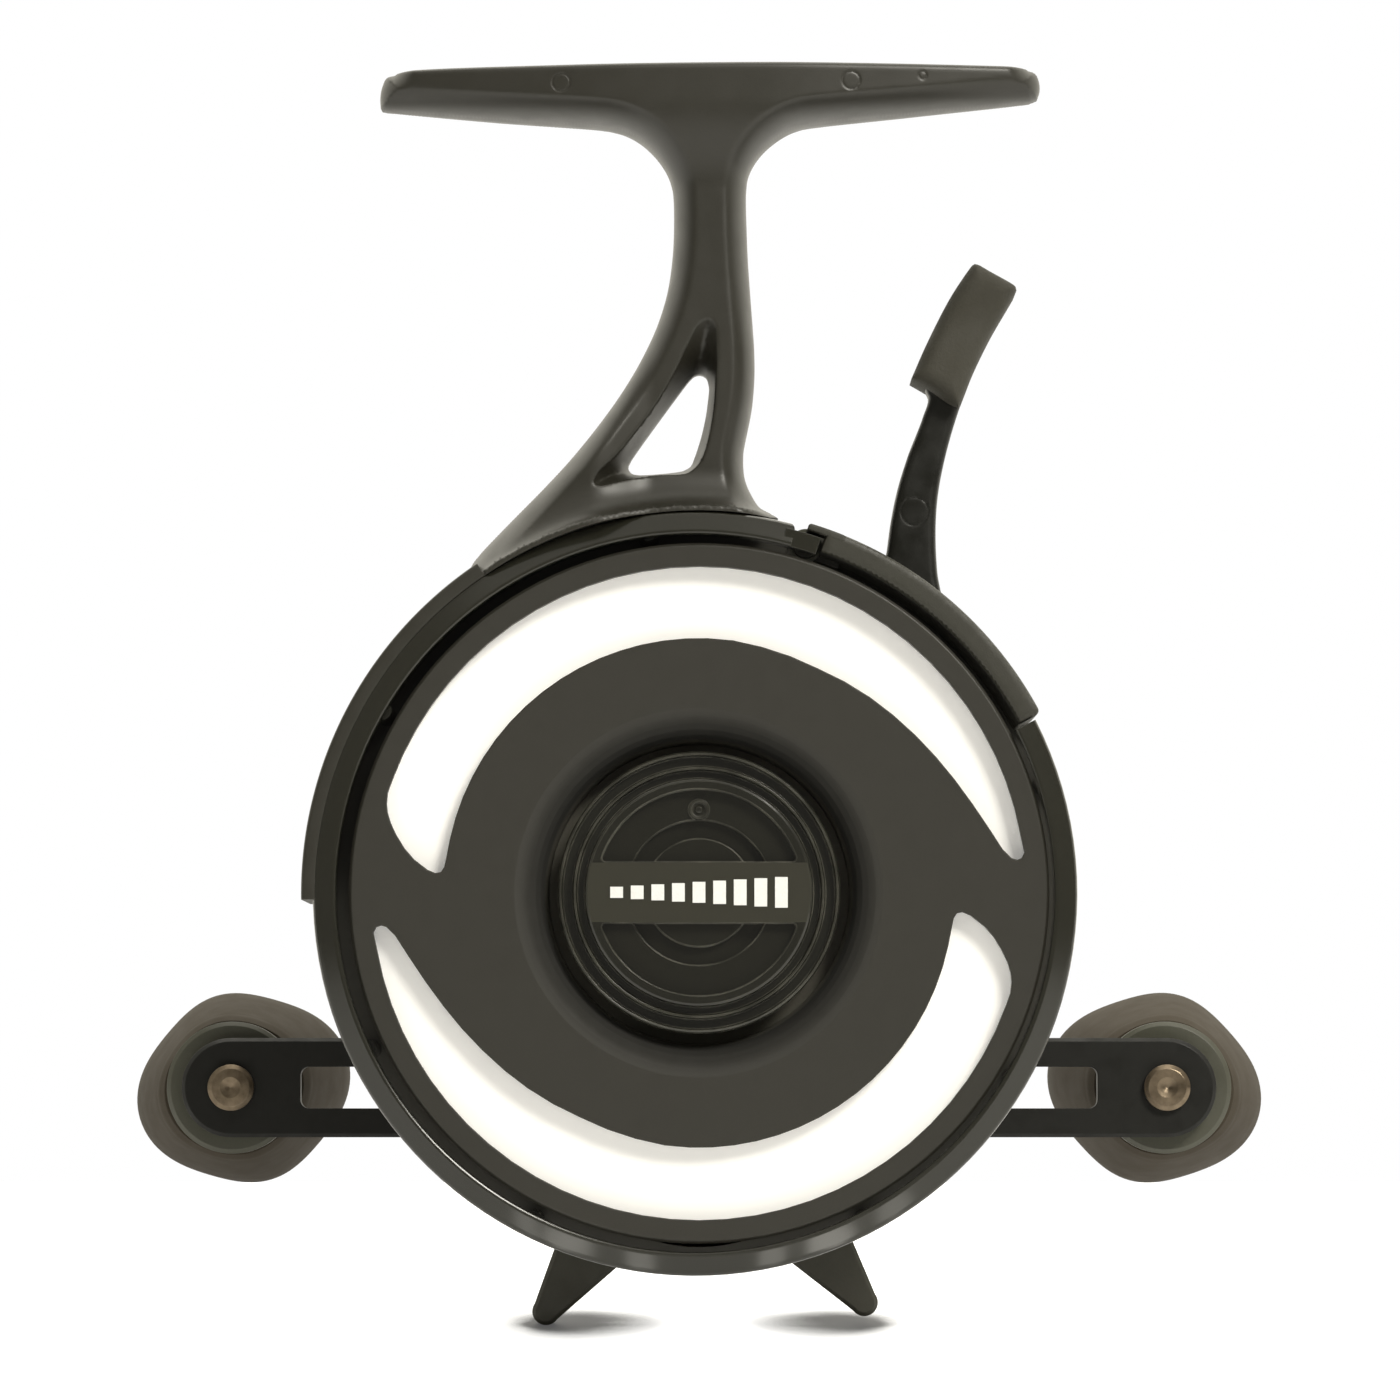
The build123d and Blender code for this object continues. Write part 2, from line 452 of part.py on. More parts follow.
save("anti_reverse_sleeve", tube(2.9, 4.0, 13.4, 25.8, 0, ZC))
rollers = tube(4.0 + RUN, 4.5, 17.9, 22.1, 0, ZC) + tube(5.6, 6.5, 17.8, 22.2, 0, ZC) + tube(4.5, 5.6, 17.9, 18.3, 0, ZC) + tube(4.5, 5.6, 21.7, 22.1, 0, ZC)
for k in range(8):
    gx, gz = pt(5.05, 45 * k)
    rollers += rod(0.56, 18.2, 21.8, gx, ZC + gz)
save("anti_reverse_bearing", rollers)
save("crank_bearing_outer", bearing(4.0 + RUN, 6.5, 22.2, 25.0, 0, ZC))

# star drag
SA = 1.6
star = Circle(8.0)
for k in range(5):
    a = -90 + 36 + 72 * k + SA
    tip = pt(25.5, a)
    b1 = pt(8.6, a + 40)
    b2 = pt(8.6, a - 40)
    ux, uz = pt(1.0, a + 90)
    n1 = (tip[0] + 1.3 * ux, tip[1] + 1.3 * uz)
    n2 = (tip[0] - 1.3 * ux, tip[1] - 1.3 * uz)
    m1 = pt(14.0, a)
    mm1 = (m1[0] + 4.3 * ux, m1[1] + 4.3 * uz)
    mm2 = (m1[0] - 4.3 * ux, m1[1] - 4.3 * uz)
    star += poly([(0, 0), b2, mm2, n2, n1, mm1, b1]) + Pos(tip[0], tip[1]) * Circle(1.3)
try:
    star = fillet([v for v in star.vertices() if 7.0 < math.hypot(v.X, v.Y) < 13.0], 2.2)
except Exception as ex:
    print("star root fillet skipped", ex)
star_b = slab(star, 26.2, 28.6, 0, ZC)
try:
    star_b = chamfer([e for e in star_b.edges() if abs(e.center().Y - 26.2) < 1e-3 or abs(e.center().Y - 28.6) < 1e-3], 0.35)
except Exception as ex:
    print("star chamfer skipped", ex)
star_b += lathe([(0, 26.2), (8.0, 26.2), (8.0, 29.2), (6.6, 30.4), (0, 30.4)], 0, ZC)
star_b -= slab(RegularPolygon(5.0, 6), 25, 29.4, 0, ZC)
star_b -= rod(2.96, 25, 32, 0, ZC)
save("drag_star", star_b)
save("star_nut", slab(RegularPolygon(5.0, 6) - Circle(2.96), 26.3, 29.4, 0, ZC))
save("handle_spacer", tube(2.9, 4.4, 30.8, 32.6, 0, ZC))

# handle arm
arm = Pos(-KNOB_X, 0) * Circle(4.72) + Pos(KNOB_X, 0) * Circle(4.72) + Rectangle(2 * KNOB_X, 9.44)
arm = arm + Circle(6.6)
slot_w = 3.95
for sx in (-1, 1):
    arm -= Pos(sx * 24.4, 0) * RectangleRounded(27.0, slot_w, 0.8)
arm_b = slab(arm, ARM_Y0, ARM_Y1, 0, ZC)
try:
    ee = [e for e in arm_b.edges() if abs(e.center().Y - ARM_Y0) < 1e-3 or abs(e.center().Y - ARM_Y1) < 1e-3]
    ee = [e for e in ee if abs(abs(e.center().Z - ZC)) > 2.5 or abs(e.center().X) > 40]
    arm_b = chamfer(ee, 0.35)
except Exception as ex:
    print("arm chamfer skipped", ex)
dbore = Circle(2.9) & Rectangle(8, 4.6)
arm_b -= slab(dbore, 30, 40, 0, ZC)
for sx in (-1, 1):
    arm_b -= rod(1.8, 30, 40, sx * KNOB_X, ZC)
save("handle_arm", arm_b)
save("handle_nut", slab(RegularPolygon(5.0, 6) - (Circle(2.9) & Rectangle(8, 4.6)), ARM_Y1, 38.2, 0, ZC))
ret = slab(Circle(5.2) + Pos(0, -5.0) * RectangleRounded(6.0, 7.0, 1.0), 39.0, 39.8, 0, ZC)
ret -= rod(1.0, 38, 41, 0, ZC)
save("nut_retainer", ret)
save("retainer_screw", rod(0.8, 36.2, 39.9, 0, ZC) + lathe([(0, 39.8), (1.9, 39.8), (1.9, 40.3), (1.5, 40.7), (0, 40.7)], 0, ZC)
     - slab(Rectangle(0.5, 5), 40.3, 41, 0, ZC))


def knob_section(scale, tilt):
    pts = []
    for i in range(48):
        p = 2 * math.pi * i / 48
        r = 9.64 + 0.64 * math.cos(2 * p) + 0.35 * math.cos(4 * p) - 0.04 * math.cos(6 * p)
        r = 5.6 + (r - 5.6) * scale
        a = p + math.radians(tilt)
        pts.append((r * math.cos(a), r * math.sin(a)))
    return poly(pts)


def knob(x, tilt):
    secs = []
    for y, s in [(37.4, 0.22), (38.6, 0.36), (42.0, 0.56), (46.0, 0.78), (50.0, 0.94), (53.0, 1.0), (56.0, 0.98), (58.6, 0.86), (60.2, 0.66), (61.0, 0.42)]:
        secs.append(Plane(origin=(x, y, ZC), x_dir=(1, 0, 0), z_dir=(0, -1, 0)) * knob_section(s, tilt))
    g = loft(secs, ruled=True)
    g -= rod(2.9, 36, 58.4, x, ZC)
    g -= rod(4.6, 58.3, 62, x, ZC)
    return g


for side, x, tilt in (("left", -KNOB_X, 17.0), ("right", KNOB_X, -15.0)):
    save("knob_grip_" + side, knob(x, tilt))
    save("knob_bushings_" + side, [tube(1.8 + RUN, 2.9, 37.5, 40.5, x, ZC), tube(1.8 + RUN, 2.9, 53.5, 56.5, x, ZC)])
    save("knob_cap_" + side, rod(4.6, 59.4, 61.0, x, ZC) + tube(3.4, 4.6, 58.4, 59.5, x, ZC))
    pst = lathe([(0, 31.75), (0.5, 31.6), (1.0, 31.5), (1.8, 31.6), (2.2, 31.9), (2.2, ARM_Y0), (1.8, ARM_Y0), (1.8, 56.9), (0, 56.9)], x, ZC)
    save("knob_post_" + side, pst)
    save("knob_collar_" + side, lathe([(1.8, ARM_Y1), (5.9, ARM_Y1), (6.3, 35.3), (6.3, 36.4), (5.9, 36.8), (1.8, 36.8)], x, ZC))
    save("knob_screw_" + side, lathe([(0, 56.9), (1.6, 56.9), (2.6, 57.0), (2.6, 57.6), (2.0, 58.1), (0, 58.1)], x, ZC)
         - slab(Rectangle(0.5, 6), 57.7, 59, x, ZC))
print("done")
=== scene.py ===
import bpy
import bmesh
import json
import math
import numpy as np
from mathutils import Matrix, Vector


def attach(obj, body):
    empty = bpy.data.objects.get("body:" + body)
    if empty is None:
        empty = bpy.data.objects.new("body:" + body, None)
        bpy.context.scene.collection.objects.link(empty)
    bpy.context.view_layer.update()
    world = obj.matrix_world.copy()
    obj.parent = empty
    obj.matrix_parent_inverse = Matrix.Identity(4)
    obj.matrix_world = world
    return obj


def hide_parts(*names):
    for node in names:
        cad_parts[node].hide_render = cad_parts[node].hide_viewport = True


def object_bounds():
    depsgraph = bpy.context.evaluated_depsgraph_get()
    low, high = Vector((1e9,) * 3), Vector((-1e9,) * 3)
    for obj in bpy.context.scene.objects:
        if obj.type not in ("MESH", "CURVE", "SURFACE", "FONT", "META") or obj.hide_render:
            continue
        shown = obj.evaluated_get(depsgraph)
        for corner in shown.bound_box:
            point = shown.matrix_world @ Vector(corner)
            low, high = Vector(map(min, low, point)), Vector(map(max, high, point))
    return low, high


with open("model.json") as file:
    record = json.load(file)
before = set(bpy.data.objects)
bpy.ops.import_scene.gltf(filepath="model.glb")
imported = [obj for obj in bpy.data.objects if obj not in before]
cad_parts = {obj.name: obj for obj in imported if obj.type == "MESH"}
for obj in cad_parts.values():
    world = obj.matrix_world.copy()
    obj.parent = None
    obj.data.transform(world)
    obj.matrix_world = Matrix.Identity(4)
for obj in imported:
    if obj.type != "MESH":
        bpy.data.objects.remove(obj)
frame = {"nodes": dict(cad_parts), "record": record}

CAD_LO, CAD_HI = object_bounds()
nodes = frame["nodes"]
MM = 0.001
ZS, ZC = -0.075, -0.0925

scene = bpy.context.scene
scene.view_settings.view_transform = "Standard"
scene.view_settings.look = "None"
scene.view_settings.exposure = 0.0
scene.view_settings.gamma = 1.0


# ---------------------------------------------------------------- materials
def new_mat(name):
    m = bpy.data.materials.new(name)
    m.use_nodes = True
    nt = m.node_tree
    nt.nodes.clear()
    out = nt.nodes.new("ShaderNodeOutputMaterial")
    b = nt.nodes.new("ShaderNodeBsdfPrincipled")
    nt.links.new(b.outputs[0], out.inputs[0])
    return m, nt, b


def node(nt, kind, **kw):
    n = nt.nodes.new(kind)
    for k, v in kw.items():
        if k in n.inputs:
            n.inputs[k].default_value = v
        else:
            setattr(n, k, v)
    return n


def ramp(nt, src, stops):
    r = nt.nodes.new("ShaderNodeValToRGB")
    el = r.color_ramp.elements
    while len(el) < len(stops):
        el.new(0.5)
    for e, (p, c) in zip(el, stops):
        e.position = p
        e.color = (c[0], c[1], c[2], 1.0) if hasattr(c, "__len__") else (c, c, c, 1.0)
    nt.links.new(src, r.inputs["Fac"])
    return r.outputs["Color"]


def surface(name, base, rough=0.45, metal=0.0, grain=900.0, bump=0.05, var=0.12, rvar=0.10, wear_and_highlight=0.0,
            wear_and_highlight_col=None, coat=0.0, coat_rough=0.1, sheen=0.0, ior=1.5, spec=0.5, bevel=0.15, stretch=(1, 1, 1),
            blotch=60.0, dist=0.00004):
    """A worked surface: fine grain bump, slow colour blotches, roughness variation and lighter edges (worn edges; on
    the dial a painted edge highlight).
    """
    m, nt, b = new_mat(name)
    L = nt.links.new
    tc = nt.nodes.new("ShaderNodeTexCoord")
    mp = nt.nodes.new("ShaderNodeMapping")
    mp.inputs["Scale"].default_value = stretch
    L(tc.outputs["Object"], mp.inputs["Vector"])
    fine = node(nt, "ShaderNodeTexNoise", Scale=grain * 4.0, Detail=3.0, Roughness=0.6)
    slow = node(nt, "ShaderNodeTexNoise", Scale=blotch, Detail=4.0, Roughness=0.55)
    mid = node(nt, "ShaderNodeTexNoise", Scale=grain * 0.35, Detail=2.0, Roughness=0.5)
    for n in (fine, slow, mid):
        L(mp.outputs["Vector"], n.inputs["Vector"])
    lo = [max(0.0, c * (1 - var)) for c in base]
    hi = [min(1.0, c * (1 + var)) for c in base]
    col = ramp(nt, slow.outputs["Fac"], [(0.3, lo), (0.7, hi)])
    mix = nt.nodes.new("ShaderNodeMix")
    mix.data_type = "RGBA"
    mix.blend_type = "MULTIPLY"
    mix.inputs["Factor"].default_value = 1.0
    sp = ramp(nt, fine.outputs["Fac"], [(0.3, 0.9), (0.7, 1.0)])
    L(col, mix.inputs["A"])
    L(sp, mix.inputs["B"])
    colour = mix.outputs["Result"]
    rr = nt.nodes.new("ShaderNodeMapRange")
    rr.inputs["To Min"].default_value = max(0.02, rough - rvar)
    rr.inputs["To Max"].default_value = min(1.0, rough + rvar)
    rr.inputs["From Min"].default_value = 0.3
    rr.inputs["From Max"].default_value = 0.7
    L(mid.outputs["Fac"], rr.inputs["Value"])
    L(rr.outputs["Result"], b.inputs["Roughness"])
    bv = node(nt, "ShaderNodeBevel", samples=4)
    bv.inputs["Radius"].default_value = bevel * MM
    bp = nt.nodes.new("ShaderNodeBump")
    bp.inputs["Strength"].default_value = bump
    bp.inputs["Distance"].default_value = dist
    L(fine.outputs["Fac"], bp.inputs["Height"])
    L(bv.outputs["Normal"], bp.inputs["Normal"])
    L(bp.outputs["Normal"], b.inputs["Normal"])
    # Lighter edge colour: wear on most materials, a painted highlight on the dial.
    if wear_and_highlight > 0:
        geo = nt.nodes.new("ShaderNodeNewGeometry")
        bw = node(nt, "ShaderNodeBevel", samples=4)
        bw.inputs["Radius"].default_value = 0.22 * MM
        dot = node(nt, "ShaderNodeVectorMath", operation="DOT_PRODUCT")
        L(bw.outputs["Normal"], dot.inputs[0])
        L(geo.outputs["Normal"], dot.inputs[1])
        edge = ramp(nt, dot.outputs["Value"], [(0.80, 1.0), (0.985, 0.0)])
        mul = node(nt, "ShaderNodeMath", operation="MULTIPLY")
        L(edge, mul.inputs[0])
        mr = nt.nodes.new("ShaderNodeMapRange")
        mr.inputs["From Min"].default_value = 0.35
        mr.inputs["From Max"].default_value = 0.65
        mr.inputs["To Min"].default_value = 0.25 * wear_and_highlight
        mr.inputs["To Max"].default_value = wear_and_highlight
        L(mid.outputs["Fac"], mr.inputs["Value"])
        L(mr.outputs["Result"], mul.inputs[1])
        wm = nt.nodes.new("ShaderNodeMix")
        wm.data_type = "RGBA"
        L(mul.outputs["Value"], wm.inputs["Factor"])
        L(colour, wm.inputs["A"])
        wc = wear_and_highlight_col or [min(1.0, c * 2.2 + 0.05) for c in base]
        wm.inputs["B"].default_value = (wc[0], wc[1], wc[2], 1)
        colour = wm.outputs["Result"]
    L(colour, b.inputs["Base Color"])
    b.inputs["Metallic"].default_value = metal
    b.inputs["IOR"].default_value = ior
    b.inputs["Specular IOR Level"].default_value = spec
    b.inputs["Coat Weight"].default_value = coat
    b.inputs["Coat Roughness"].default_value = coat_rough
    b.inputs["Sheen Weight"].default_value = sheen
    return m


def srgb(r, g, b):
    f = lambda c: ((c / 255.0 + 0.055) / 1.055) ** 2.4 if c > 10 else c / 255.0 / 12.92
    return [f(r), f(g), f(b)]


ENV_FRONT, ENV_SIDE, ENV_BACK, KEY, TOP = 0.29, 0.52, 1.55, 11.4, 5.0

M = {}
M["matte_black"] = surface("matte_black", (0.0190, 0.0176, 0.0125), rough=0.42, rvar=0.025, grain=1400, bump=0.12, var=0.03, wear_and_highlight=0.22, wear_and_highlight_col=(0.085, 0.080, 0.062), bevel=0.10)
M["trigger_matte"] = surface("trigger_matte", (0.0235, 0.0225, 0.0155), rough=0.55, grain=1500, bump=0.30, var=0.10, wear_and_highlight=0.10, wear_and_highlight_col=(0.09, 0.086, 0.066), bevel=0.15)
M["stalk_satin"] = surface("stalk_satin", (0.0050, 0.0050, 0.0032), spec=0.32, rough=0.42, grain=1500, bump=0.10, var=0.12, wear_and_highlight=0.10, wear_and_highlight_col=(0.04, 0.036, 0.028), bevel=0.15)
M["arm_black"] = surface("arm_black", (0.0050, 0.0049, 0.0035), spec=0.28, rough=0.52, grain=1600, bump=0.14, var=0.10, wear_and_highlight=0.10, wear_and_highlight_col=(0.04, 0.038, 0.03), bevel=0.15)
M["star_matte"] = surface("star_matte", (0.040, 0.038, 0.0265), rough=0.50, grain=1300, bump=0.18, var=0.14, wear_and_highlight=0.15, wear_and_highlight_col=(0.08, 0.076, 0.06), bevel=0.15)
M["satin_black"] = surface("satin_black", (0.0198, 0.0183, 0.0140), rough=0.46, rvar=0.02, grain=1900, bump=0.04, var=0.015, wear_and_highlight=0.05, bevel=0.2)
M["gloss_black"] = surface("gloss_black", (0.0145, 0.0140, 0.0095), rough=0.20, rvar=0.03, grain=500, bump=0.02, var=0.06, wear_and_highlight=0.22, wear_and_highlight_col=(0.08, 0.078, 0.062), bevel=0.12)
# The dial's strong lighter edge colour is a painted highlight along its ring and pocket edges.
M["dial_black"] = surface("dial_black", (0.0120, 0.0118, 0.0088), rough=0.18, rvar=0.015, grain=900, bump=0.008, var=0.05, wear_and_highlight=0.95, wear_and_highlight_col=(0.15, 0.146, 0.12), bevel=0.07, blotch=140.0)
def dial_bar_lighter(m):
    """The raised centre bar of the dial gets a lighter base colour than the rest of the dial; its roughness is
    unchanged.
    """
    nt = m.node_tree
    L = nt.links.new
    b = [n for n in nt.nodes if n.type == "BSDF_PRINCIPLED"][0]
    tc = nt.nodes.new("ShaderNodeTexCoord")
    sx = nt.nodes.new("ShaderNodeSeparateXYZ")
    L(tc.outputs["Object"], sx.inputs["Vector"])
    a = node(nt, "ShaderNodeMath", operation="ADD")
    L(sx.outputs["Z"], a.inputs[0])
    a.inputs[1].default_value = 0.075
    ab = node(nt, "ShaderNodeMath", operation="ABSOLUTE")
    L(a.outputs["Value"], ab.inputs[0])
    c1 = node(nt, "ShaderNodeMath", operation="LESS_THAN")
    L(ab.outputs["Value"], c1.inputs[0])
    c1.inputs[1].default_value = 0.00268
    c2 = node(nt, "ShaderNodeMath", operation="LESS_THAN")
    L(sx.outputs["Y"], c2.inputs[0])
    c2.inputs[1].default_value = -0.00945
    mu = node(nt, "ShaderNodeMath", operation="MULTIPLY")
    L(c1.outputs["Value"], mu.inputs[0])
    L(c2.outputs["Value"], mu.inputs[1])
    for sock, val in (("Base Color", (0.032, 0.031, 0.0235, 1)),):
        src = b.inputs[sock].links[0].from_socket
        mx = nt.nodes.new("ShaderNodeMix")
        mx.data_type = "RGBA"
        L(mu.outputs["Value"], mx.inputs["Factor"])
        L(src, mx.inputs["A"])
        mx.inputs["B"].default_value = val
        L(mx.outputs["Result"], b.inputs[sock])


dial_bar_lighter(M["dial_black"])
M["white"] = surface("white", (0.93, 0.92, 0.90), rough=0.35, rvar=0.05, grain=1200, bump=0.03, var=0.012, bevel=0.2)
# The white flange gets an emission of 0.20 and glows a little: painted light that brightens it beyond what the lamps
# give.
for n_ in M["white"].node_tree.nodes:
    if n_.type == "BSDF_PRINCIPLED":
        n_.inputs["Emission Color"].default_value = (1.0, 0.99, 0.97, 1)
        n_.inputs["Emission Strength"].default_value = 0.20
M["white_print"] = surface("white_print", (0.80, 0.80, 0.785), rough=0.55, grain=1600, bump=0.08, var=0.03, bevel=0.03)
M["rubber_grey"] = surface("rubber_grey", (0.045, 0.043, 0.034), rough=0.72, grain=1500, bump=0.25, var=0.08, wear_and_highlight=0.1, sheen=0.1, bevel=0.4)
M["pad_rubber"] = surface("pad_rubber", (0.034, 0.0315, 0.0225), rough=0.80, grain=900, bump=0.65, var=0.10, bevel=0.2, dist=0.00008)
M["knob_taupe"] = surface("knob_taupe", (0.052, 0.0425, 0.0305), spec=0.18, rough=0.80, rvar=0.05, grain=1300, bump=0.05, var=0.025, bevel=0.2, blotch=35.0)
M["steel"] = surface("steel", srgb(190, 188, 184), rough=0.26, metal=1.0, grain=700, bump=0.06, var=0.05, wear_and_highlight=0.1, bevel=0.1)
M["nickel"] = surface("nickel", srgb(122, 109, 92), rough=0.40, metal=1.0, grain=500, bump=0.30, var=0.28, rvar=0.14, wear_and_highlight=0.25, wear_and_highlight_col=(0.62, 0.55, 0.46), bevel=0.12, blotch=900.0)
M["brass"] = surface("brass", srgb(212, 176, 96), rough=0.25, metal=1.0, grain=800, bump=0.05, var=0.06, wear_and_highlight=0.1, bevel=0.05)
M["aluminium"] = surface("aluminium", srgb(205, 205, 206), rough=0.32, metal=1.0, grain=900, bump=0.06, var=0.04, wear_and_highlight=0.1, bevel=0.1)
M["carbon"] = surface("carbon", (0.02, 0.02, 0.02), rough=0.6, grain=700, bump=0.4, var=0.3, bevel=0.05)
M["magnet"] = surface("magnet", srgb(195, 195, 198), rough=0.2, metal=1.0, grain=500, bump=0.03, var=0.04, bevel=0.15)
M["bushing"] = surface("bushing", srgb(222, 219, 208), rough=0.45, grain=1000, bump=0.06, var=0.03, bevel=0.1)
M["dark_metal"] = surface("dark_metal", (0.062, 0.062, 0.044), rough=0.40, metal=0.0, grain=900, bump=0.05, var=0.08, wear_and_highlight=0.3, wear_and_highlight_col=(0.10, 0.10, 0.08), bevel=0.12)

slots = {s["node"]: s["material_slot"] for s in frame["record"]["subparts"]}
def paint_well_shade_and_light(m):
    """Painted shade and light in the face plate well: the rolled lip gets a darker base colour (painted shade) and a
    higher roughness, so it is duller; the wall below it gets a base colour four times lighter (painted light lifting
    its shade).
    """
    nt = m.node_tree
    L = nt.links.new
    b = [n for n in nt.nodes if n.type == "BSDF_PRINCIPLED"][0]
    tc = nt.nodes.new("ShaderNodeTexCoord")
    ad = node(nt, "ShaderNodeVectorMath", operation="ADD")
    ad.inputs[1].default_value = (0.0, 0.0, 0.075)
    L(tc.outputs["Object"], ad.inputs[0])
    mu = node(nt, "ShaderNodeVectorMath", operation="MULTIPLY")
    mu.inputs[1].default_value = (1.0, 0.0, 1.0)
    L(ad.outputs["Vector"], mu.inputs[0])
    ln = node(nt, "ShaderNodeVectorMath", operation="LENGTH")
    L(mu.outputs["Vector"], ln.inputs[0])
    mr = nt.nodes.new("ShaderNodeMapRange")
    mr.inputs["From Min"].default_value = 0.0130
    mr.inputs["From Max"].default_value = 0.0170
    L(ln.outputs["Value"], mr.inputs["Value"])
    # Base colour factor: x4 inside r 13.6 mm on the wall below the lip (painted light), x0.4 at r 14 mm rising to x1 at
    # r 16.8 mm across the rolled lip (painted shade).
    k = ramp(nt, mr.outputs["Result"], [(0.0, 1.0), (0.16, 1.0), (0.24, 0.10), (0.55, 0.13), (0.95, 0.25)])
    sc = node(nt, "ShaderNodeVectorMath", operation="SCALE")
    L(k, sc.inputs[0])
    sc.inputs["Scale"].default_value = 4.0
    src = b.inputs["Base Color"].links[0].from_socket
    mx = nt.nodes.new("ShaderNodeMix")
    mx.data_type = "RGBA"
    mx.blend_type = "MULTIPLY"
    mx.inputs["Factor"].default_value = 1.0
    L(src, mx.inputs["A"])
    L(sc.outputs["Vector"], mx.inputs["B"])
    L(mx.outputs["Result"], b.inputs["Base Color"])
    r = ramp(nt, mr.outputs["Result"], [(0.0, 0.40), (0.6, 0.40), (0.95, 0.0)])
    rs = b.inputs["Roughness"].links[0].from_socket
    ra_ = node(nt, "ShaderNodeMath", operation="ADD")
    L(rs, ra_.inputs[0])
    L(r, ra_.inputs[1])
    L(ra_.outputs["Value"], b.inputs["Roughness"])


M["face_black"] = surface("face_black", (0.0198, 0.0183, 0.0135), rough=0.46, rvar=0.02, grain=1900, bump=0.04, var=0.015, wear_and_highlight=0.05, bevel=0.2)
paint_well_shade_and_light(M["face_black"])
# The spool drum gets a light grey base colour: painted light that lifts the shade where it shows in the narrow gaps
# around the spool face.
M["drum_lightened"] = surface("drum_lightened", (0.115, 0.108, 0.085), rough=0.60, rvar=0.05, grain=1200, bump=0.08, var=0.10, bevel=0.15)
special = {"handle_arm": "arm_black", "drag_star": "star_matte", "spool_drum": "drum_lightened", "spool_face": "face_black"}
for n, o in nodes.items():
    o.data.materials.clear()
    o.data.materials.append(M[special.get(n, slots[n])])


# ---------------------------------------------------------------- mesh tools
def smoothstep(a, b, x):
    t = np.clip((x - a) / (b - a), 0.0, 1.0)
    return t * t * (3 - 2 * t)


def spline2(pts, closed=True, step=0.3, corner=48.0):
    """Even points along a smooth line through pts (mm); a turn sharper than corner degrees stays a corner."""
    P = [Vector(p) for p in pts]
    n = len(P)
    out = []

    def tang(i):
        if not closed and i in (0, n - 1):
            j = 1 if i == 0 else n - 2
            d = (P[j] - P[i]) if i == 0 else (P[i] - P[j])
            return d.normalized(), d.normalized()
        a, b, c = P[(i - 1) % n], P[i], P[(i + 1) % n]
        u, v = (b - a), (c - b)
        if u.length < 1e-9 or v.length < 1e-9:
            return (c - a).normalized(), (c - a).normalized()
        ang = math.degrees(math.acos(max(-1.0, min(1.0, u.normalized().dot(v.normalized())))))
        if ang > corner:
            return u.normalized(), v.normalized()
        t = (u.normalized() * v.length + v.normalized() * u.length).normalized()
        return t, t

    last = n if closed else n - 1
    for i in range(last):
        a, b = P[i], P[(i + 1) % n]
        L = (b - a).length
        if L < 1e-6:
            continue
        Lp = (a - P[(i - 1) % n]).length if (closed or i > 0) else L
        Ln = (P[(i + 2) % n] - b).length if (closed or i + 2 < n) else L
        m0 = tang(i)[1] * min(L, 1.6 * max(Lp, 0.05))
        m1 = tang((i + 1) % n)[0] * min(L, 1.6 * max(Ln, 0.05))
        k = max(1, int(round(L / step)))
        for j in range(k):
            t = j / k
            h00 = 2 * t ** 3 - 3 * t ** 2 + 1
            h10 = t ** 3 - 2 * t ** 2 + t
            h01 = -2 * t ** 3 + 3 * t ** 2
            h11 = t ** 3 - t ** 2
            p = a * h00 + m0 * h10 + b * h01 + m1 * h11
            out.append((p.x, p.y))
    if not closed:
        out.append((P[-1].x, P[-1].y))
    return out


def dist_to(P, A, B):
    """Distance from each point P to the nearest of the segments A-B."""
    best = np.full(len(P), 1e9)
    for i in range(0, len(A), 64):
        a, b = A[i:i + 64], B[i:i + 64]
        ab = b - a
        ll = np.maximum((ab ** 2).sum(1), 1e-12)
        ap = P[:, None, :] - a[None]
        t = np.clip((ap * ab[None]).sum(2) / ll[None], 0, 1)
        q = ap - t[..., None] * ab[None]
        best = np.minimum(best, np.sqrt((q ** 2).sum(2)).min(1))
    return best


def inside(P, poly):
    poly = np.asarray(poly, float)
    x, y = P[:, 0], P[:, 1]
    r = np.zeros(len(P), bool)
    for i in range(len(poly)):
        x1, y1 = poly[i]
        x2, y2 = poly[(i + 1) % len(poly)]
        if y1 == y2:
            continue
        c = ((y1 > y) != (y2 > y)) & (x < (x2 - x1) * (y - y1) / (y2 - y1) + x1)
        r ^= c
    return r


def closed_segs(poly):
    a = np.asarray(poly, float)
    return a, np.roll(a, -1, axis=0)


def link(me, name, mat, sharp=35.0):
    me.validate()
    me.shade_smooth()
    me.set_sharp_from_angle(angle=math.radians(sharp))
    o = bpy.data.objects.new(name, me)
    scene.collection.objects.link(o)
    me.materials.append(mat)
    return o


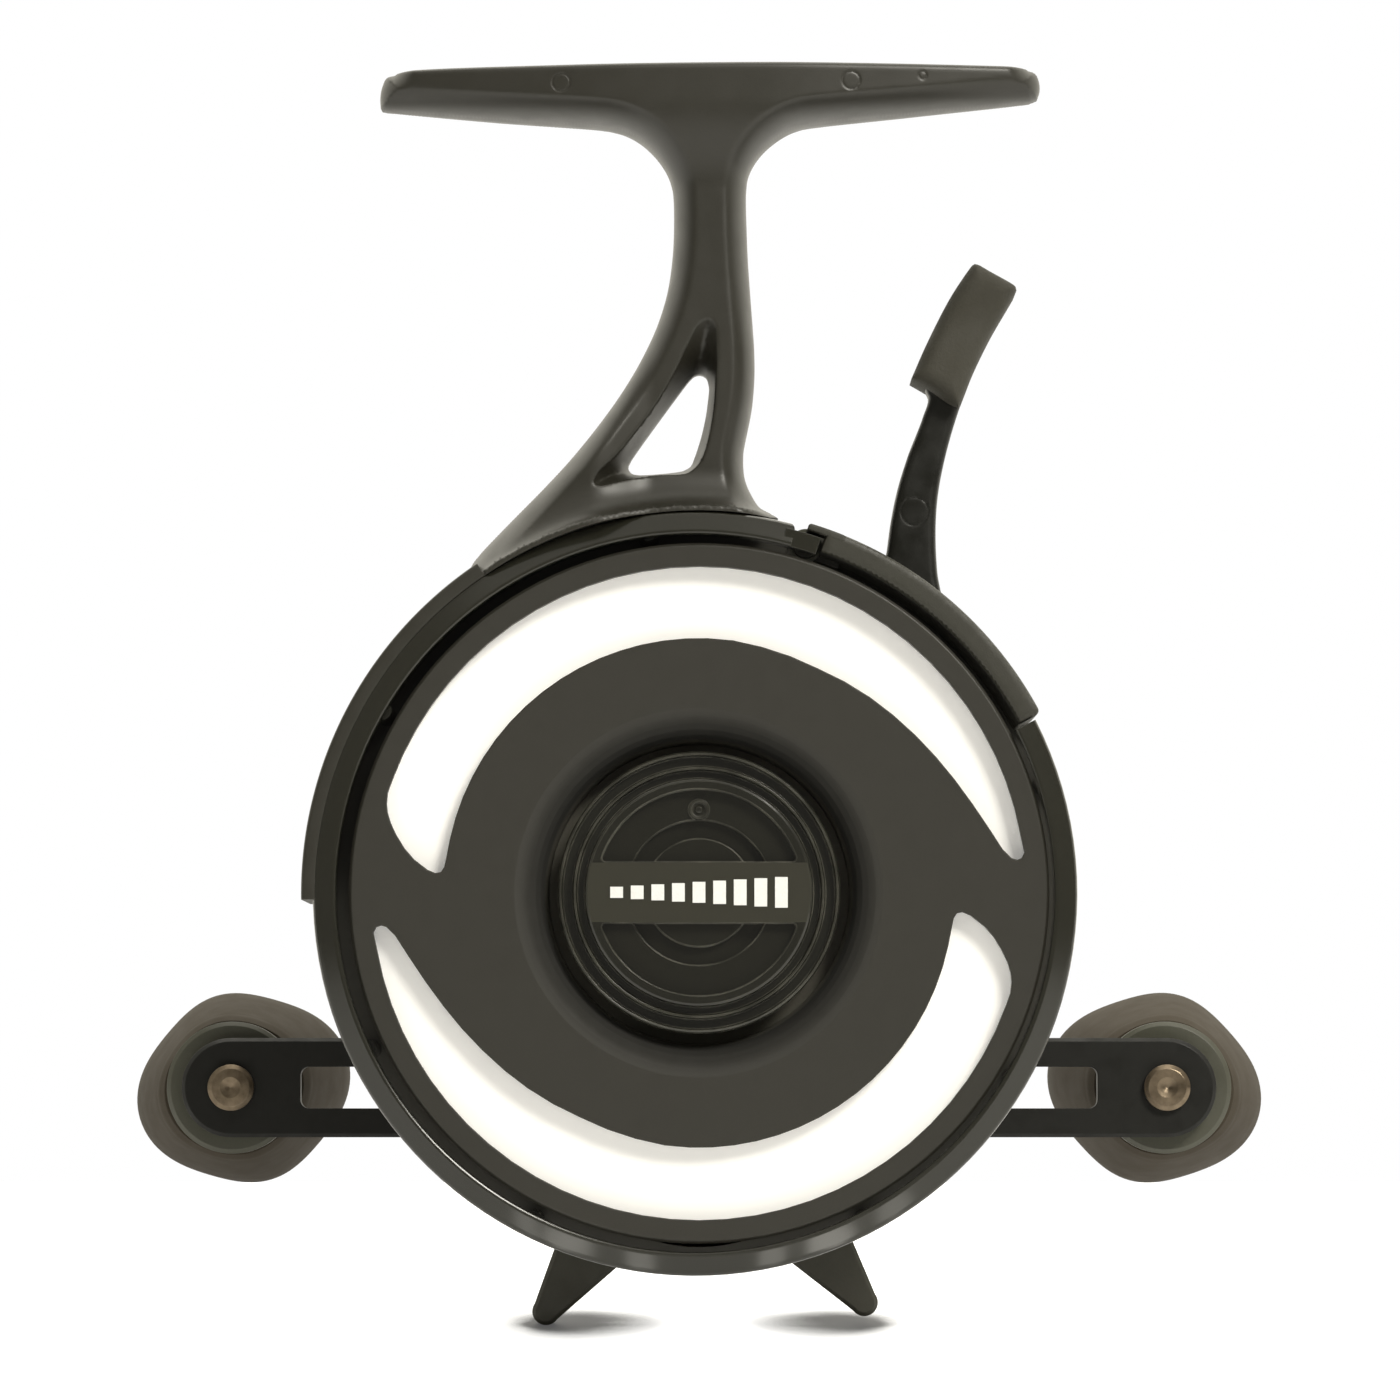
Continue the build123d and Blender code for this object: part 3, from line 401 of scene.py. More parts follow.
def plate_mesh(name, outline, holes, front, back, loops, grid, extra=(), extra_lines=()):
    """Closed solid over an outline in the X-Z plane; front(P) and back(P) give |y| on either side (mm)."""
    from mathutils.geometry import delaunay_2d_cdt
    O = np.asarray(outline, float)
    rings = [O] + [np.asarray(h, float) for h in holes]
    A = np.concatenate([r for r in rings])
    B = np.concatenate([np.roll(r, -1, axis=0) for r in rings])
    pts = [A]
    # offset loops follow every edge inwards
    for r in rings + [np.asarray(e, float) for e in extra_lines]:
        a, b = r, np.roll(r, -1, axis=0)
        m = 0.5 * (a + b)
        t = b - a
        t /= np.maximum(np.linalg.norm(t, axis=1), 1e-9)[:, None]
        nrm = np.stack([-t[:, 1], t[:, 0]], 1)
        for k, d in enumerate(loops):
            src = a if k % 2 == 0 else m
            na = nrm + np.roll(nrm, 1, axis=0)
            na /= np.maximum(np.linalg.norm(na, axis=1), 1e-9)[:, None]
            nn = na if k % 2 == 0 else nrm
            for sg in (1, -1):
                q = src + sg * d * nn
                dd = dist_to(q, A, B)
                de = dist_to(q, *closed_segs(r))
                ok = (dd > 0.9 * d if r is not None else True) & (de > 0.9 * d)
                pts.append(q[ok])
    lo, hi = O.min(0), O.max(0)
    gx, gz = np.meshgrid(np.arange(lo[0], hi[0], grid), np.arange(lo[1], hi[1], grid * 0.87))
    gx = gx + (np.arange(gx.shape[0]) % 2)[:, None] * grid * 0.5
    G = np.stack([gx.ravel(), gz.ravel()], 1)
    G = G[dist_to(G, A, B) > max(loops) * 0.9] if len(loops) else G
    pts.append(G)
    for e in extra:
        pts.append(np.asarray(e, float))
    Q = np.concatenate(pts)
    keep = inside(Q, O)
    for h in holes:
        keep &= ~inside(Q, h)
    keep[:len(A)] = True
    # drop points nearly on top of an earlier one
    key, sel = {}, []
    for i, (x, z) in enumerate(Q):
        if not keep[i]:
            continue
        c = (int(math.floor(x / 0.045)), int(math.floor(z / 0.045)))
        hit = False
        if i >= len(A):
            for dx in (-1, 0, 1):
                for dz in (-1, 0, 1):
                    for j in key.get((c[0] + dx, c[1] + dz), ()):
                        if (Q[j][0] - x) ** 2 + (Q[j][1] - z) ** 2 < 0.0018:
                            hit = True
        if hit:
            continue
        key.setdefault(c, []).append(i)
        sel.append(i)
    idx = {i: k for k, i in enumerate(sel)}
    edges = []
    base = 0
    for r in rings:
        n = len(r)
        for i in range(n):
            edges.append((idx[base + i], idx[base + (i + 1) % n]))
        base += n
    V, E, F, _, _, _ = delaunay_2d_cdt([Vector((float(Q[i][0]), float(Q[i][1]))) for i in sel], edges, [], 0, 1e-7)
    V = np.array([(v.x, v.y) for v in V])
    T = np.array([f for f in F if len(f) == 3])
    cen = V[T].mean(1)
    ok = inside(cen, O)
    for h in holes:
        ok &= ~inside(cen, h)
    T = T[ok]
    used = np.unique(T)
    mp = -np.ones(len(V), int)
    mp[used] = np.arange(len(used))
    V, T = V[used], mp[T]
    # triangles counter-clockwise in (x, z); seen from -y that is outward
    e1, e2 = V[T[:, 1]] - V[T[:, 0]], V[T[:, 2]] - V[T[:, 0]]
    flip = (e1[:, 0] * e2[:, 1] - e1[:, 1] * e2[:, 0]) < 0
    T[flip] = T[flip][:, ::-1]
    yf, yb = -front(V), back(V)
    n = len(V)
    verts = [(x * MM, y * MM, z * MM) for (x, z), y in zip(V, yf)] + [(x * MM, y * MM, z * MM) for (x, z), y in zip(V, yb)]
    faces = [tuple(int(v) for v in t) for t in T] + [(int(t[2]) + n, int(t[1]) + n, int(t[0]) + n) for t in T]
    cnt = {}
    for t in T:
        for a, b in ((t[0], t[1]), (t[1], t[2]), (t[2], t[0])):
            cnt[(int(a), int(b))] = cnt.get((int(a), int(b)), 0) + 1
    for (a, b) in list(cnt):
        if (b, a) not in cnt:
            faces.append((b, a, a + n, b + n))
    me = bpy.data.meshes.new(name)
    me.from_pydata(verts, [], faces)
    return me


def join_meshes(name, objs, mat, sharp=35.0):
    bm = bmesh.new()
    for o in objs:
        me = o.data if hasattr(o, "data") and isinstance(o, bpy.types.Object) else o
        bm.from_mesh(me)
    me = bpy.data.meshes.new(name)
    bmesh.ops.recalc_face_normals(bm, faces=bm.faces)
    bm.to_mesh(me)
    bm.free()
    for o in objs:
        if isinstance(o, bpy.types.Object):
            bpy.data.objects.remove(o)
    me.materials.clear()
    return link(me, name, mat, sharp)


def ring_strip(prof, a0, a1, cx, cz, step=1.0, closed_profile=True):
    """Sweep a closed (r, y) profile round a centre from a0 to a1 degrees, ends capped (mm)."""
    full = abs(a1 - a0) >= 359.99
    n = max(3, int(abs(a1 - a0) / step))
    k = len(prof)
    verts, faces = [], []
    for i in range(n if full else n + 1):
        a = math.radians(a0 + (a1 - a0) * i / n)
        for r, y in prof:
            verts.append(((cx + r * math.cos(a)) * MM, y * MM, (cz + r * math.sin(a)) * MM))
    m = n if full else n + 1
    for i in range(n):
        p, q = i * k, ((i + 1) % m) * k
        for j in range(k):
            faces.append((p + j, p + (j + 1) % k, q + (j + 1) % k, q + j))
    if not full:
        faces.append(tuple(range(k)))
        faces.append(tuple(reversed(range(n * k, n * k + k))))
    me = bpy.data.meshes.new("strip")
    me.from_pydata(verts, [], faces)
    bm = bmesh.new()
    bm.from_mesh(me)
    bmesh.ops.recalc_face_normals(bm, faces=bm.faces)
    bm.to_mesh(me)
    bm.free()
    return me


def round_rect(r0, r1, y0, y1, c, k=4):
    """Closed profile of a rectangle with rounded corners, c = four radii or one."""
    if not hasattr(c, "__len__"):
        c = (c, c, c, c)
    out = []
    for (x, y, sx, sy, s, rad) in ((r0, y0, 1, 1, 180, c[0]), (r1, y0, -1, 1, 270, c[1]), (r1, y1, -1, -1, 0, c[2]), (r0, y1, 1, -1, 90, c[3])):
        if rad <= 0:
            out.append((x, y))
            continue
        for i in range(k + 1):
            a = math.radians(s + 90.0 * i / k)
            out.append((x + sx * rad + rad * math.cos(a), y + sy * rad + rad * math.sin(a)))
    return out


def cut_keep(src, name, r_keep, cx, cz, y0=-30.0, y1=80.0, mode="INTERSECT", n=180):
    """Copy of a CAD node's mesh, kept inside (or outside) a cylinder of r_keep about (cx, cz)."""
    me = src.data.copy()
    o = bpy.data.objects.new(name, me)
    scene.collection.objects.link(o)
    bm = bmesh.new()
    bm.from_mesh(me)
    bmesh.ops.remove_doubles(bm, verts=bm.verts, dist=1e-7)
    bm.to_mesh(me)
    bm.free()
    verts, faces = [], []
    for y in (y0, y1):
        for i in range(n):
            a = 2 * math.pi * i / n
            verts.append(((cx + r_keep * math.cos(a)) * MM, y * MM, (cz + r_keep * math.sin(a)) * MM))
    faces.append(tuple(reversed(range(n))))
    faces.append(tuple(range(n, 2 * n)))
    for i in range(n):
        j = (i + 1) % n
        faces.append((i, j, n + j, n + i))
    tm = bpy.data.meshes.new("tool")
    tm.from_pydata(verts, [], faces)
    bm = bmesh.new()
    bm.from_mesh(tm)
    bmesh.ops.recalc_face_normals(bm, faces=bm.faces)
    bm.to_mesh(tm)
    bm.free()
    t = bpy.data.objects.new("tool", tm)
    scene.collection.objects.link(t)
    md = o.modifiers.new("cut", "BOOLEAN")
    md.operation = mode
    md.solver = "EXACT"
    md.object = t
    dg = bpy.context.evaluated_depsgraph_get()
    ev = o.evaluated_get(dg)
    out = bpy.data.meshes.new_from_object(ev, depsgraph=dg)
    bpy.data.objects.remove(o)
    bpy.data.objects.remove(t)
    return out


# ---------------------------------------------------------------- frame casting
L_SIDE = [(-28.6, -3.42), (-19.05, -4.24), (-8.11, -5.05), (-6.75, -5.43), (-5.29, -6.25), (-4.38, -7.06), (-3.45, -8.19),
          (-2.75, -9.46), (-2.42, -10.56), (-2.29, -14.48), (-2.51, -17.76), (-2.86, -19.95), (-3.59, -22.5), (-5.31, -26.33),
          (-7.03, -29.24), (-9.13, -32.16), (-12.12, -35.81), (-13.98, -37.81), (-17.96, -41.87), (-20.0, -44.05), (-20.75, -45.1), (-20.9, -46.6)]
R_SIDE = [(7.2, -40.75), (6.3, -40.2), (5.6, -39.8), (4.75, -38.54), (4.17, -37.08), (4.04, -36.0), (4.06, -34.71), (4.88, -30.25),
          (5.07, -27.6), (5.05, -25.51), (4.41, -15.94), (4.31, -10.83), (4.48, -9.46), (5.16, -8.01), (5.87, -7.09),
          (6.84, -6.2), (8.48, -5.2), (9.48, -4.86), (20.0, -3.72), (30.3, -2.6)]
left_end = [(-27.9, -0.12), (-28.55, -0.35), (-28.95, -1.1), (-29.15, -2.3), (-29.1, -3.1)]
right_end = [(30.9, -2.35), (31.14, -1.6), (31.1, -0.7), (30.75, 0.05), (30.2, 0.3)]
top_line = [(30.2, 0.3), (22.0, 0.32), (14.0, 0.34), (4.0, 0.32), (-6.0, 0.22), (-16.0, 0.08), (-24.0, -0.02), (-27.9, -0.12)]
base = [(34.46 * math.cos(math.radians(a)), 34.46 * math.sin(math.radians(a)) - 75.0) for a in np.arange(126.2, 78.6, -1.0)]
top = spline2(top_line, False, 0.35)
lefts = spline2(left_end, False, 0.16) + spline2([(-29.1, -3.1), (-28.95, -3.38)] + L_SIDE[0:], False, 0.28)[1:]
rights = spline2(R_SIDE + right_end, False, 0.28)
outline = top[:-1] + lefts[:-1] + base + rights[:-1]
ra = [(lefts[i], lefts[i + 1]) for i in range(len(lefts) - 1)] + [(rights[i], rights[i + 1]) for i in range(len(rights) - 1)]
RA = np.array([s[0] for s in ra])
RB = np.array([s[1] for s in ra])
TA, TB = np.array(top[:-1]), np.array(top[1:])
PO = spline2([(0.55, -22.95), (1.1, -23.0), (1.5, -23.6), (1.63, -26.03), (1.54, -28.83), (1.27, -31.82), (0.6, -34.8), (0.04, -36.07),
              (-0.9, -36.88), (-3.89, -37.15), (-6.15, -37.52), (-9.0, -38.2), (-9.45, -38.05), (-9.5, -37.65), (-9.14, -36.94),
              (-7.62, -35.53), (-5.76, -33.26), (-3.89, -30.64), (-2.02, -27.29), (-0.9, -24.85), (-0.1, -23.4)], True, 0.25, 80)
TH = spline2([(0.15, -27.55), (0.6, -27.75), (0.88, -28.49), (0.79, -30.16), (0.23, -33.16), (-0.44, -35.26), (-0.75, -35.95), (-1.4, -36.35),
              (-5.5, -36.75), (-6.15, -36.6), (-6.45, -36.1), (-6.2, -35.4), (-0.91, -28.11), (-0.4, -27.65)], True, 0.22, 80)
POa, POb = closed_segs(PO)
THa, THb = closed_segs(TH)
HWX = [-29.2, -28.7, -26.0, -19.0, -8.0, 1.0, 9.0, 20.0, 27.0, 30.6, 31.2]
HWY = [3.2, 3.8, 4.6, 6.0, 7.25, 7.4, 7.25, 5.9, 4.7, 3.9, 3.3]
MARKS = [(-12.5, -1.5, 0.8), (13.8, -1.3, 0.8), (20.3, -0.75, 0.35)]


def cast_h(P):
    x, z = P[:, 0], P[:, 1]
    hw = np.mean([np.interp(x + o, HWX, HWY) for o in np.linspace(-3.2, 3.2, 13)], axis=0)
    s = smoothstep(-11.0, -3.2, z)
    near = 5.5 + (hw - 5.5) * s
    w = smoothstep(5.0, 11.0, np.abs(x - 1.0))
    H = near * (1 - w) + hw * w
    foot = np.maximum(w, s)
    d = dist_to(P, RA, RB)
    Rx = 1.95
    Ry = 4.9 + (H - 0.3 - 4.9) * foot
    k = 0.70
    t = np.clip(d / Rx, 0, 1 / k)
    f = np.sqrt(np.maximum(0, 1 - (1 - k * t) ** 2)) / math.sqrt(1 - (1 - k) ** 2)
    g = H - Ry * (1 - f)
    far = H + 0.9 + (d - Rx) * 0.8
    g = np.where(t >= 1 / k, np.maximum(g, far), g)
    e = 0.07
    h = 0.5 * (H + g - np.sqrt((H - g) ** 2 + e * e)) + 0.01
    h = np.minimum(h, H)
    dt = dist_to(P, TA, TB)
    c = 0.45
    h -= np.where(dt < c, c * (1 - np.sqrt(np.maximum(0, 1 - (1 - dt / c) ** 2))), 0)
    # cove up to the wall
    r = np.hypot(x, z + 75.0)
    u = np.clip((38.6 - r) / 3.7, 0, 1)
    cove = 3.3 * (1 - np.sqrt(np.maximum(0, 1 - u * u)))
    h += np.where(z < -34, cove * smoothstep(-0.4, 0.9, d), 0)
    # pocket that narrows to the window
    dp = dist_to(P, POa, POb)
    dw = dist_to(P, THa, THb)
    ins = inside(P, PO) & (dp > 1e-6)
    tt = dp / np.maximum(dp + dw, 1e-6)
    tt = np.clip(tt, 0, 1)
    lip = 0.07 * np.clip(1 - dp / 0.25, 0, 1) ** 2
    h = np.where(ins, (H - 0.07) * (1 - tt) + 0.75 * tt, h - lip)
    for mx, mz, mr in MARKS:
        q = np.hypot(x - mx, z - mz)
        h -= 0.08 * np.exp(-((q - mr) / 0.07) ** 2) + 0.012 * (q < mr)
    return np.maximum(h, 0.12)


ring_pts = []
for rr_ in (34.54, 34.66, 34.78, 34.9, 35.0, 35.12, 35.3, 35.5, 35.8, 36.1, 36.4, 36.8, 37.2, 37.7, 38.2, 38.6, 39.0, 39.5):
    ring_pts += [(rr_ * math.cos(math.radians(a)), rr_ * math.sin(math.radians(a)) - 75.0) for a in np.arange(78, 128, 0.8)]
mark_pts = []
for mx, mz, mr in MARKS:
    for q in (mr - 0.2, mr - 0.1, mr, mr + 0.1, mr + 0.2):
        if q > 0:
            mark_pts += [(mx + q * math.cos(2 * math.pi * i / 30), mz + q * math.sin(2 * math.pi * i / 30)) for i in range(30)]
stem_me = plate_mesh("stem", outline, [TH], cast_h, cast_h, (0.05, 0.12, 0.22, 0.36, 0.55, 0.8, 1.1, 1.4, 1.65, 1.85, 1.95, 2.05, 2.3, 2.6),
                     0.7, [ring_pts, mark_pts, PO], [PO])
body_me = cut_keep(nodes["frame"], "body", 34.9, 0.0, -75.0)
wall_me = ring_strip(round_rect(34.46, 35.8, -8.8, 9.0, (0.16, 0.35, 0.25, 0.1)), 124.0, 181.0, 0.0, -75.0, 0.8)
shelf_me = ring_strip(round_rect(33.8, 35.2, 5.94, 8.95, (0.1, 0.0, 0.0, 0.0)), 84.7, 180.8, 0.0, -75.0, 0.8)
wall2_me = ring_strip(round_rect(34.95, 35.8, -5.0, 9.0, (0.1, 0.35, 0.25, 0.0)), 84.5, 124.0, 0.0, -75.0, 0.8)
casting = join_meshes("frame_casting", [stem_me, body_me, wall_me, shelf_me, wall2_me], M["matte_black"], 32.0)
# the flat rear disc stays flat: its borders to the fillets are kept sharp
cm = casting.data
side = {}
for p in cm.polygons:
    flat = abs(p.normal.y) > 0.9998
    for ek in p.edge_keys:
        side.setdefault(ek, []).append(flat)
for ed in cm.edges:
    f = side.get(tuple(sorted(ed.vertices)), [])
    if len(f) == 2 and f[0] != f[1] and min(cm.vertices[v].co.y for v in ed.vertices) > 0.0058:
        ed.use_edge_sharp = True
wn = casting.modifiers.new("weighted", "WEIGHTED_NORMAL")
wn.keep_sharp = True
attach(casting, "reel_frame")
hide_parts("frame")

# ---------------------------------------------------------------- trigger lever and pad
ST = spline2([(22.2, -48.4), (21.9, -47.0), (21.73, -46.07), (21.57, -43.89), (21.55, -41.08), (21.72, -38.9), (22.23, -36.0), (22.77, -33.82),
              (23.92, -30.19), (25.2, -27.0), (26.6, -23.9), (27.2, -22.6), (27.0, -21.4), (25.6, -20.3), (24.6, -20.6), (23.2, -22.6),
              (21.6, -26.2), (20.6, -28.9), (20.92, -29.65), (20.35, -31.64), (18.95, -35.27), (18.14, -37.9), (17.48, -41.08),
              (17.14, -43.6), (16.9, -45.3), (17.4, -45.9), (19.4, -47.2)], True, 0.35, 60)
STa, STb = closed_segs(ST)


def stalk_h(P, c=0.75, half=2.2):
    d = dist_to(P, STa, STb)
    e = np.where(d < c, c * (1 - np.sqrt(np.maximum(0, 1 - (1 - d / c) ** 2))), 0)
    q = np.hypot(P[:, 0] - 19.6, P[:, 1] + 40.2)
    return half - e - 0.05 * np.exp(-((q - 1.27) / 0.08) ** 2) - 0.015 * (q < 1.27)


mk = []
for q in (1.07, 1.17, 1.27, 1.37, 1.47):
    mk += [(19.6 + q * math.cos(2 * math.pi * i / 40), -40.2 + q * math.sin(2 * math.pi * i / 40)) for i in range(40)]
stalk_me = plate_mesh("stalk", ST, [], lambda P: stalk_h(P) + 0.4, lambda P: stalk_h(P) - 0.4, (0.03, 0.09, 0.18, 0.3, 0.45, 0.62, 0.8), 0.6, [mk])


def arc_outline(ri, ro, a0, a1, c, step=1.0):
    """Band between two radii with rounded corners, as an (x, z) outline about the spool axis."""
    def P(r, a):
        return (r * math.cos(math.radians(a)), r * math.sin(math.radians(a)) - 75.0)
    out = []
    do, di = math.degrees(c / ro), math.degrees(c / ri)
    m = int((a1 - a0) / step)
    out += [P(ro, a0 + do + (a1 - a0 - 2 * do) * i / m) for i in range(m + 1)]
    for i in range(1, 6):
        t = math.radians(18 * i)
        out.append(P(ro - c * (1 - math.cos(t)), a1 - do + do * math.sin(t)))
    out += [P(ri + 0.08, a1), P(ri, a1 - 0.15)]
    out += [P(ri, a1 - di + (a0 - a1 + 2 * di) * i / m) for i in range(m + 1)]
    out += [P(ri, a0 + 0.15), P(ri + 0.08, a0)]
    for i in range(5, 0, -1):
        t = math.radians(18 * i)
        out.append(P(ro - c * (1 - math.cos(t)), a0 + do - do * math.sin(t)))
    return out


def edge_round(poly, c, half, floor_=0.1):
    a, b = closed_segs(poly)

    def f(P):
        d = dist_to(P, a, b)
        return half - np.where(d < c, c * (1 - np.sqrt(np.maximum(0, 1 - (1 - d / c) ** 2))), 0)
    return f


sh = arc_outline(32.6, 34.75, 27.75, 70.5, 0.5)
fr = edge_round(sh, 0.45, 9.0)
shield_me = plate_mesh("shield", sh, [], fr, lambda P: edge_round(sh, 0.3, 5.2)(P), (0.04, 0.12, 0.24, 0.4, 0.6), 0.45)
sh2 = arc_outline(34.08, 34.75, 67.5, 73.4, 0.3, 0.5)
strip_me = plate_mesh("strip", sh2, [], edge_round(sh2, 0.15, 9.0), lambda P: np.full(len(P), -5.0), (0.04, 0.1, 0.17), 0.25)
PVX, PVZ = 33.0 * math.cos(math.radians(73)), 33.0 * math.sin(math.radians(73)) - 75.0
tail_pts = [(34.1, 72.4), (34.1, 73.6), (33.0, 75.0), (12.0, 78.5), (10.9, 73.0), (12.0, 67.5), (33.0, 71.0)]
TL = spline2([(r * math.cos(math.radians(a)), r * math.sin(math.radians(a)) - 75.0) for r, a in tail_pts], True, 0.5, 30)
hole_ = [(PVX + 0.62 * math.cos(2 * math.pi * i / 24), PVZ + 0.62 * math.sin(2 * math.pi * i / 24)) for i in range(24)]
tail_me = plate_mesh("tail", TL, [hole_], lambda P: np.full(len(P), -6.3), lambda P: np.full(len(P), 7.5), (0.1,), 0.9)
hub_me = ring_strip(round_rect(0.62, 1.15, -5.7, 6.4, 0.08), 0.0, 360.0, PVX, PVZ, 12.0)
PGX, PGZ = 12.0 * math.cos(math.radians(73)), 12.0 * math.sin(math.radians(73)) - 75.0
peg_me = ring_strip([(0.01, 7.3), (0.8, 7.3), (0.8, 12.75), (0.7, 12.9), (0.01, 12.9)], 0.0, 360.0, PGX, PGZ, 15.0)
rib1 = ring_strip(round_rect(32.12, 34.7, -2.6, 1.4, 0.1), 67.0, 72.6, 0.0, -75.0, 0.7)
rib2 = ring_strip(round_rect(32.12, 34.7, 3.6, 5.2, 0.1), 67.0, 72.6, 0.0, -75.0, 0.7)
lever = join_meshes("trigger_lever_body", [shield_me, strip_me, tail_me, hub_me, peg_me, rib1, rib2], M["trigger_matte"], 32.0)
wn = lever.modifiers.new("weighted", "WEIGHTED_NORMAL")
wn.keep_sharp = True
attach(lever, "trigger")
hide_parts("trigger_lever")
stalk = link(stalk_me, "trigger_stalk", M["stalk_satin"], 40)
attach(stalk, "trigger")

PADO = spline2([(23.56, -30.82), (23.85, -30.37), (24.99, -27.48), (26.65, -24.04), (28.59, -20.69), (28.86, -20.15), (28.78, -19.8),
                (28.4, -19.5), (26.41, -18.38), (25.4, -17.8), (25.08, -17.72), (24.85, -17.85), (23.19, -20.24), (20.56, -25.3), (19.29, -28.2),
                (20.98, -29.2), (22.6, -30.35)], True, 0.28, 75)
pa, pb = closed_segs(PADO)


def pad_h(P):
    d = dist_to(P, pa, pb)
    c = 1.5
    t = np.clip(d / c, 0, 1)
    return 5.1 - 1.9 * (1 - np.sqrt(np.maximum(0, 1 - (1 - t) ** 2))) + 0.1


pad_me = plate_mesh("pad", PADO, [], lambda P: pad_h(P) + 0.4, lambda P: pad_h(P) - 0.4, (0.04, 0.12, 0.25, 0.42, 0.65, 0.95, 1.3, 1.6), 0.6)
pad = link(pad_me, "trigger_pad_rubber", M["pad_rubber"], 50)
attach(pad, "trigger")
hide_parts("trigger_pad")


# ---------------------------------------------------------------- knob grips
def knob_grip(name, node_name, body, cx, tilt):
    cz = -92.5
    kx = [37.4, 38.6, 42.0, 46.0, 50.0, 53.0, 56.0, 58.6, 60.2, 61.0]
    kv = [0.22, 0.36, 0.56, 0.78, 0.94, 1.0, 0.98, 0.86, 0.66, 0.42]
    n = 120
    verts, faces = [], []

    def ringof(y, s, rmin=None):
        for i in range(n):
            p = 2 * math.pi * i / n
            r = 9.64 + 0.64 * math.cos(2 * p) + 0.35 * math.cos(4 * p) - 0.04 * math.cos(6 * p)
            r = 5.6 + (r - 5.6) * s
            if rmin is not None:
                r = rmin
            a = p + math.radians(tilt)
            verts.append(((cx + r * math.cos(a)) * MM, y * MM, (cz + r * math.sin(a)) * MM))
    prof = []
    yy = np.linspace(37.4, 61.0, 60)
    # section law: linear through the CAD sections, smoothed by averaging it with its values 1.1 mm either side
    for y in yy:
        s = float(np.interp(y, kx, kv))
        lo_, hi_ = float(np.interp(y - 1.1, kx, kv)), float(np.interp(y + 1.1, kx, kv))
        if 38.6 < y < 59.8:
            s = 0.5 * s + 0.25 * (lo_ + hi_)
        prof.append((float(y), s))
    for y, s in prof:
        ringof(y, s)
    for r, y in ((5.2, 61.05), (4.75, 60.9), (4.62, 60.4), (4.62, 58.4), (2.9, 58.4), (2.9, 37.4), (4.4, 37.3)):
        ringof(y, 0, r)
    k = len(verts) // n
    for i in range(k):
        p, q = i * n, ((i + 1) % k) * n
        for j in range(n):
            faces.append((p + j, p + (j + 1) % n, q + (j + 1) % n, q + j))
    me = bpy.data.meshes.new(name)
    me.from_pydata(verts, [], faces)
    bm = bmesh.new()
    bm.from_mesh(me)
    bmesh.ops.recalc_face_normals(bm, faces=bm.faces)
    bm.to_mesh(me)
    bm.free()
    o = link(me, name, M["knob_taupe"], 40)
    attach(o, body)
    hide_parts(node_name)
    return o


knob_grip("knob_left_foam", "knob_grip_left", "knob_left", -44.5, 17.0)
knob_grip("knob_right_foam", "knob_grip_right", "knob_right", 44.5, -15.0)

# ---------------------------------------------------------------- stage
def grid_mesh(name, pts_rows):
    me = bpy.data.meshes.new(name)
    verts = [p for row in pts_rows for p in row]
    w = len(pts_rows[0])
    faces = []
    for i in range(len(pts_rows) - 1):
        for j in range(w - 1):
            a = i * w + j
            faces.append((a, a + 1, a + w + 1, a + w))
    me.from_pydata(verts, [], faces)
    for p in me.polygons:
        p.use_smooth = True
    o = bpy.data.objects.new(name, me)
    bpy.context.scene.collection.objects.link(o)
    return o


FLOOR_Z = CAD_LO.z
TOUCH_Y, BEND_Y, SLOPE = 0.0274, 0.058, math.tan(math.radians(11.0))
rows = []
for i in range(61):
    y = -0.55 + i * 0.02
    if y < BEND_Y - 0.02:
        z = FLOOR_Z + SLOPE * (y - TOUCH_Y)
    else:
        t = min(1.0, max(0.0, (y - (BEND_Y - 0.02)) / 0.04))
        z = FLOOR_Z + SLOPE * ((BEND_Y - 0.02 - TOUCH_Y) + 0.04 * (t - 0.5 * t * t))
    rows.append([(-0.7 + 0.1 * j, y, z) for j in range(15)])
floor = grid_mesh("floor", rows)
fmat = surface("floor_white", (0.72, 0.72, 0.72), rough=0.65, rvar=0.05, grain=60, bump=0.01, var=0.004, bevel=0.0, spec=0.2)
ft = fmat.node_tree
fb = [n_ for n_ in ft.nodes if n_.type == "BSDF_PRINCIPLED"][0]
# Painted contact shadow: ambient occlusion within 7.2 mm darkens the floor's base colour and its emission where a part
# stands close to it.
ao = ft.nodes.new("ShaderNodeAmbientOcclusion")
ao.samples = 24
ao.inputs["Distance"].default_value = 0.0072
contact_shadow = ft.nodes.new("ShaderNodeMapRange")
contact_shadow.inputs["From Min"].default_value = 0.82
contact_shadow.inputs["From Max"].default_value = 0.98
contact_shadow.inputs["To Min"].default_value = 0.10
contact_shadow.inputs["To Max"].default_value = 1.0
ft.links.new(ao.outputs["AO"], contact_shadow.inputs["Value"])
fc = ft.nodes.new("ShaderNodeMix")
fc.data_type = "RGBA"
fc.blend_type = "MULTIPLY"
fc.inputs["Factor"].default_value = 1.0
ft.links.new(fb.inputs["Base Color"].links[0].from_socket, fc.inputs["A"])
ft.links.new(contact_shadow.outputs["Result"], fc.inputs["B"])
ft.links.new(fc.outputs["Result"], fb.inputs["Base Color"])
flp = ft.nodes.new("ShaderNodeLightPath")
fs = ft.nodes.new("ShaderNodeMapRange")
fs.inputs["To Min"].default_value = 0.22
fs.inputs["To Max"].default_value = 0.86
ft.links.new(flp.outputs["Is Camera Ray"], fs.inputs["Value"])
fm = node(ft, "ShaderNodeMath", operation="MULTIPLY")
ft.links.new(fs.outputs["Result"], fm.inputs[0])
ft.links.new(contact_shadow.outputs["Result"], fm.inputs[1])
fb.inputs["Emission Color"].default_value = (1, 1, 1, 1)
ft.links.new(fm.outputs["Value"], fb.inputs["Emission Strength"])
floor.data.materials.append(fmat)

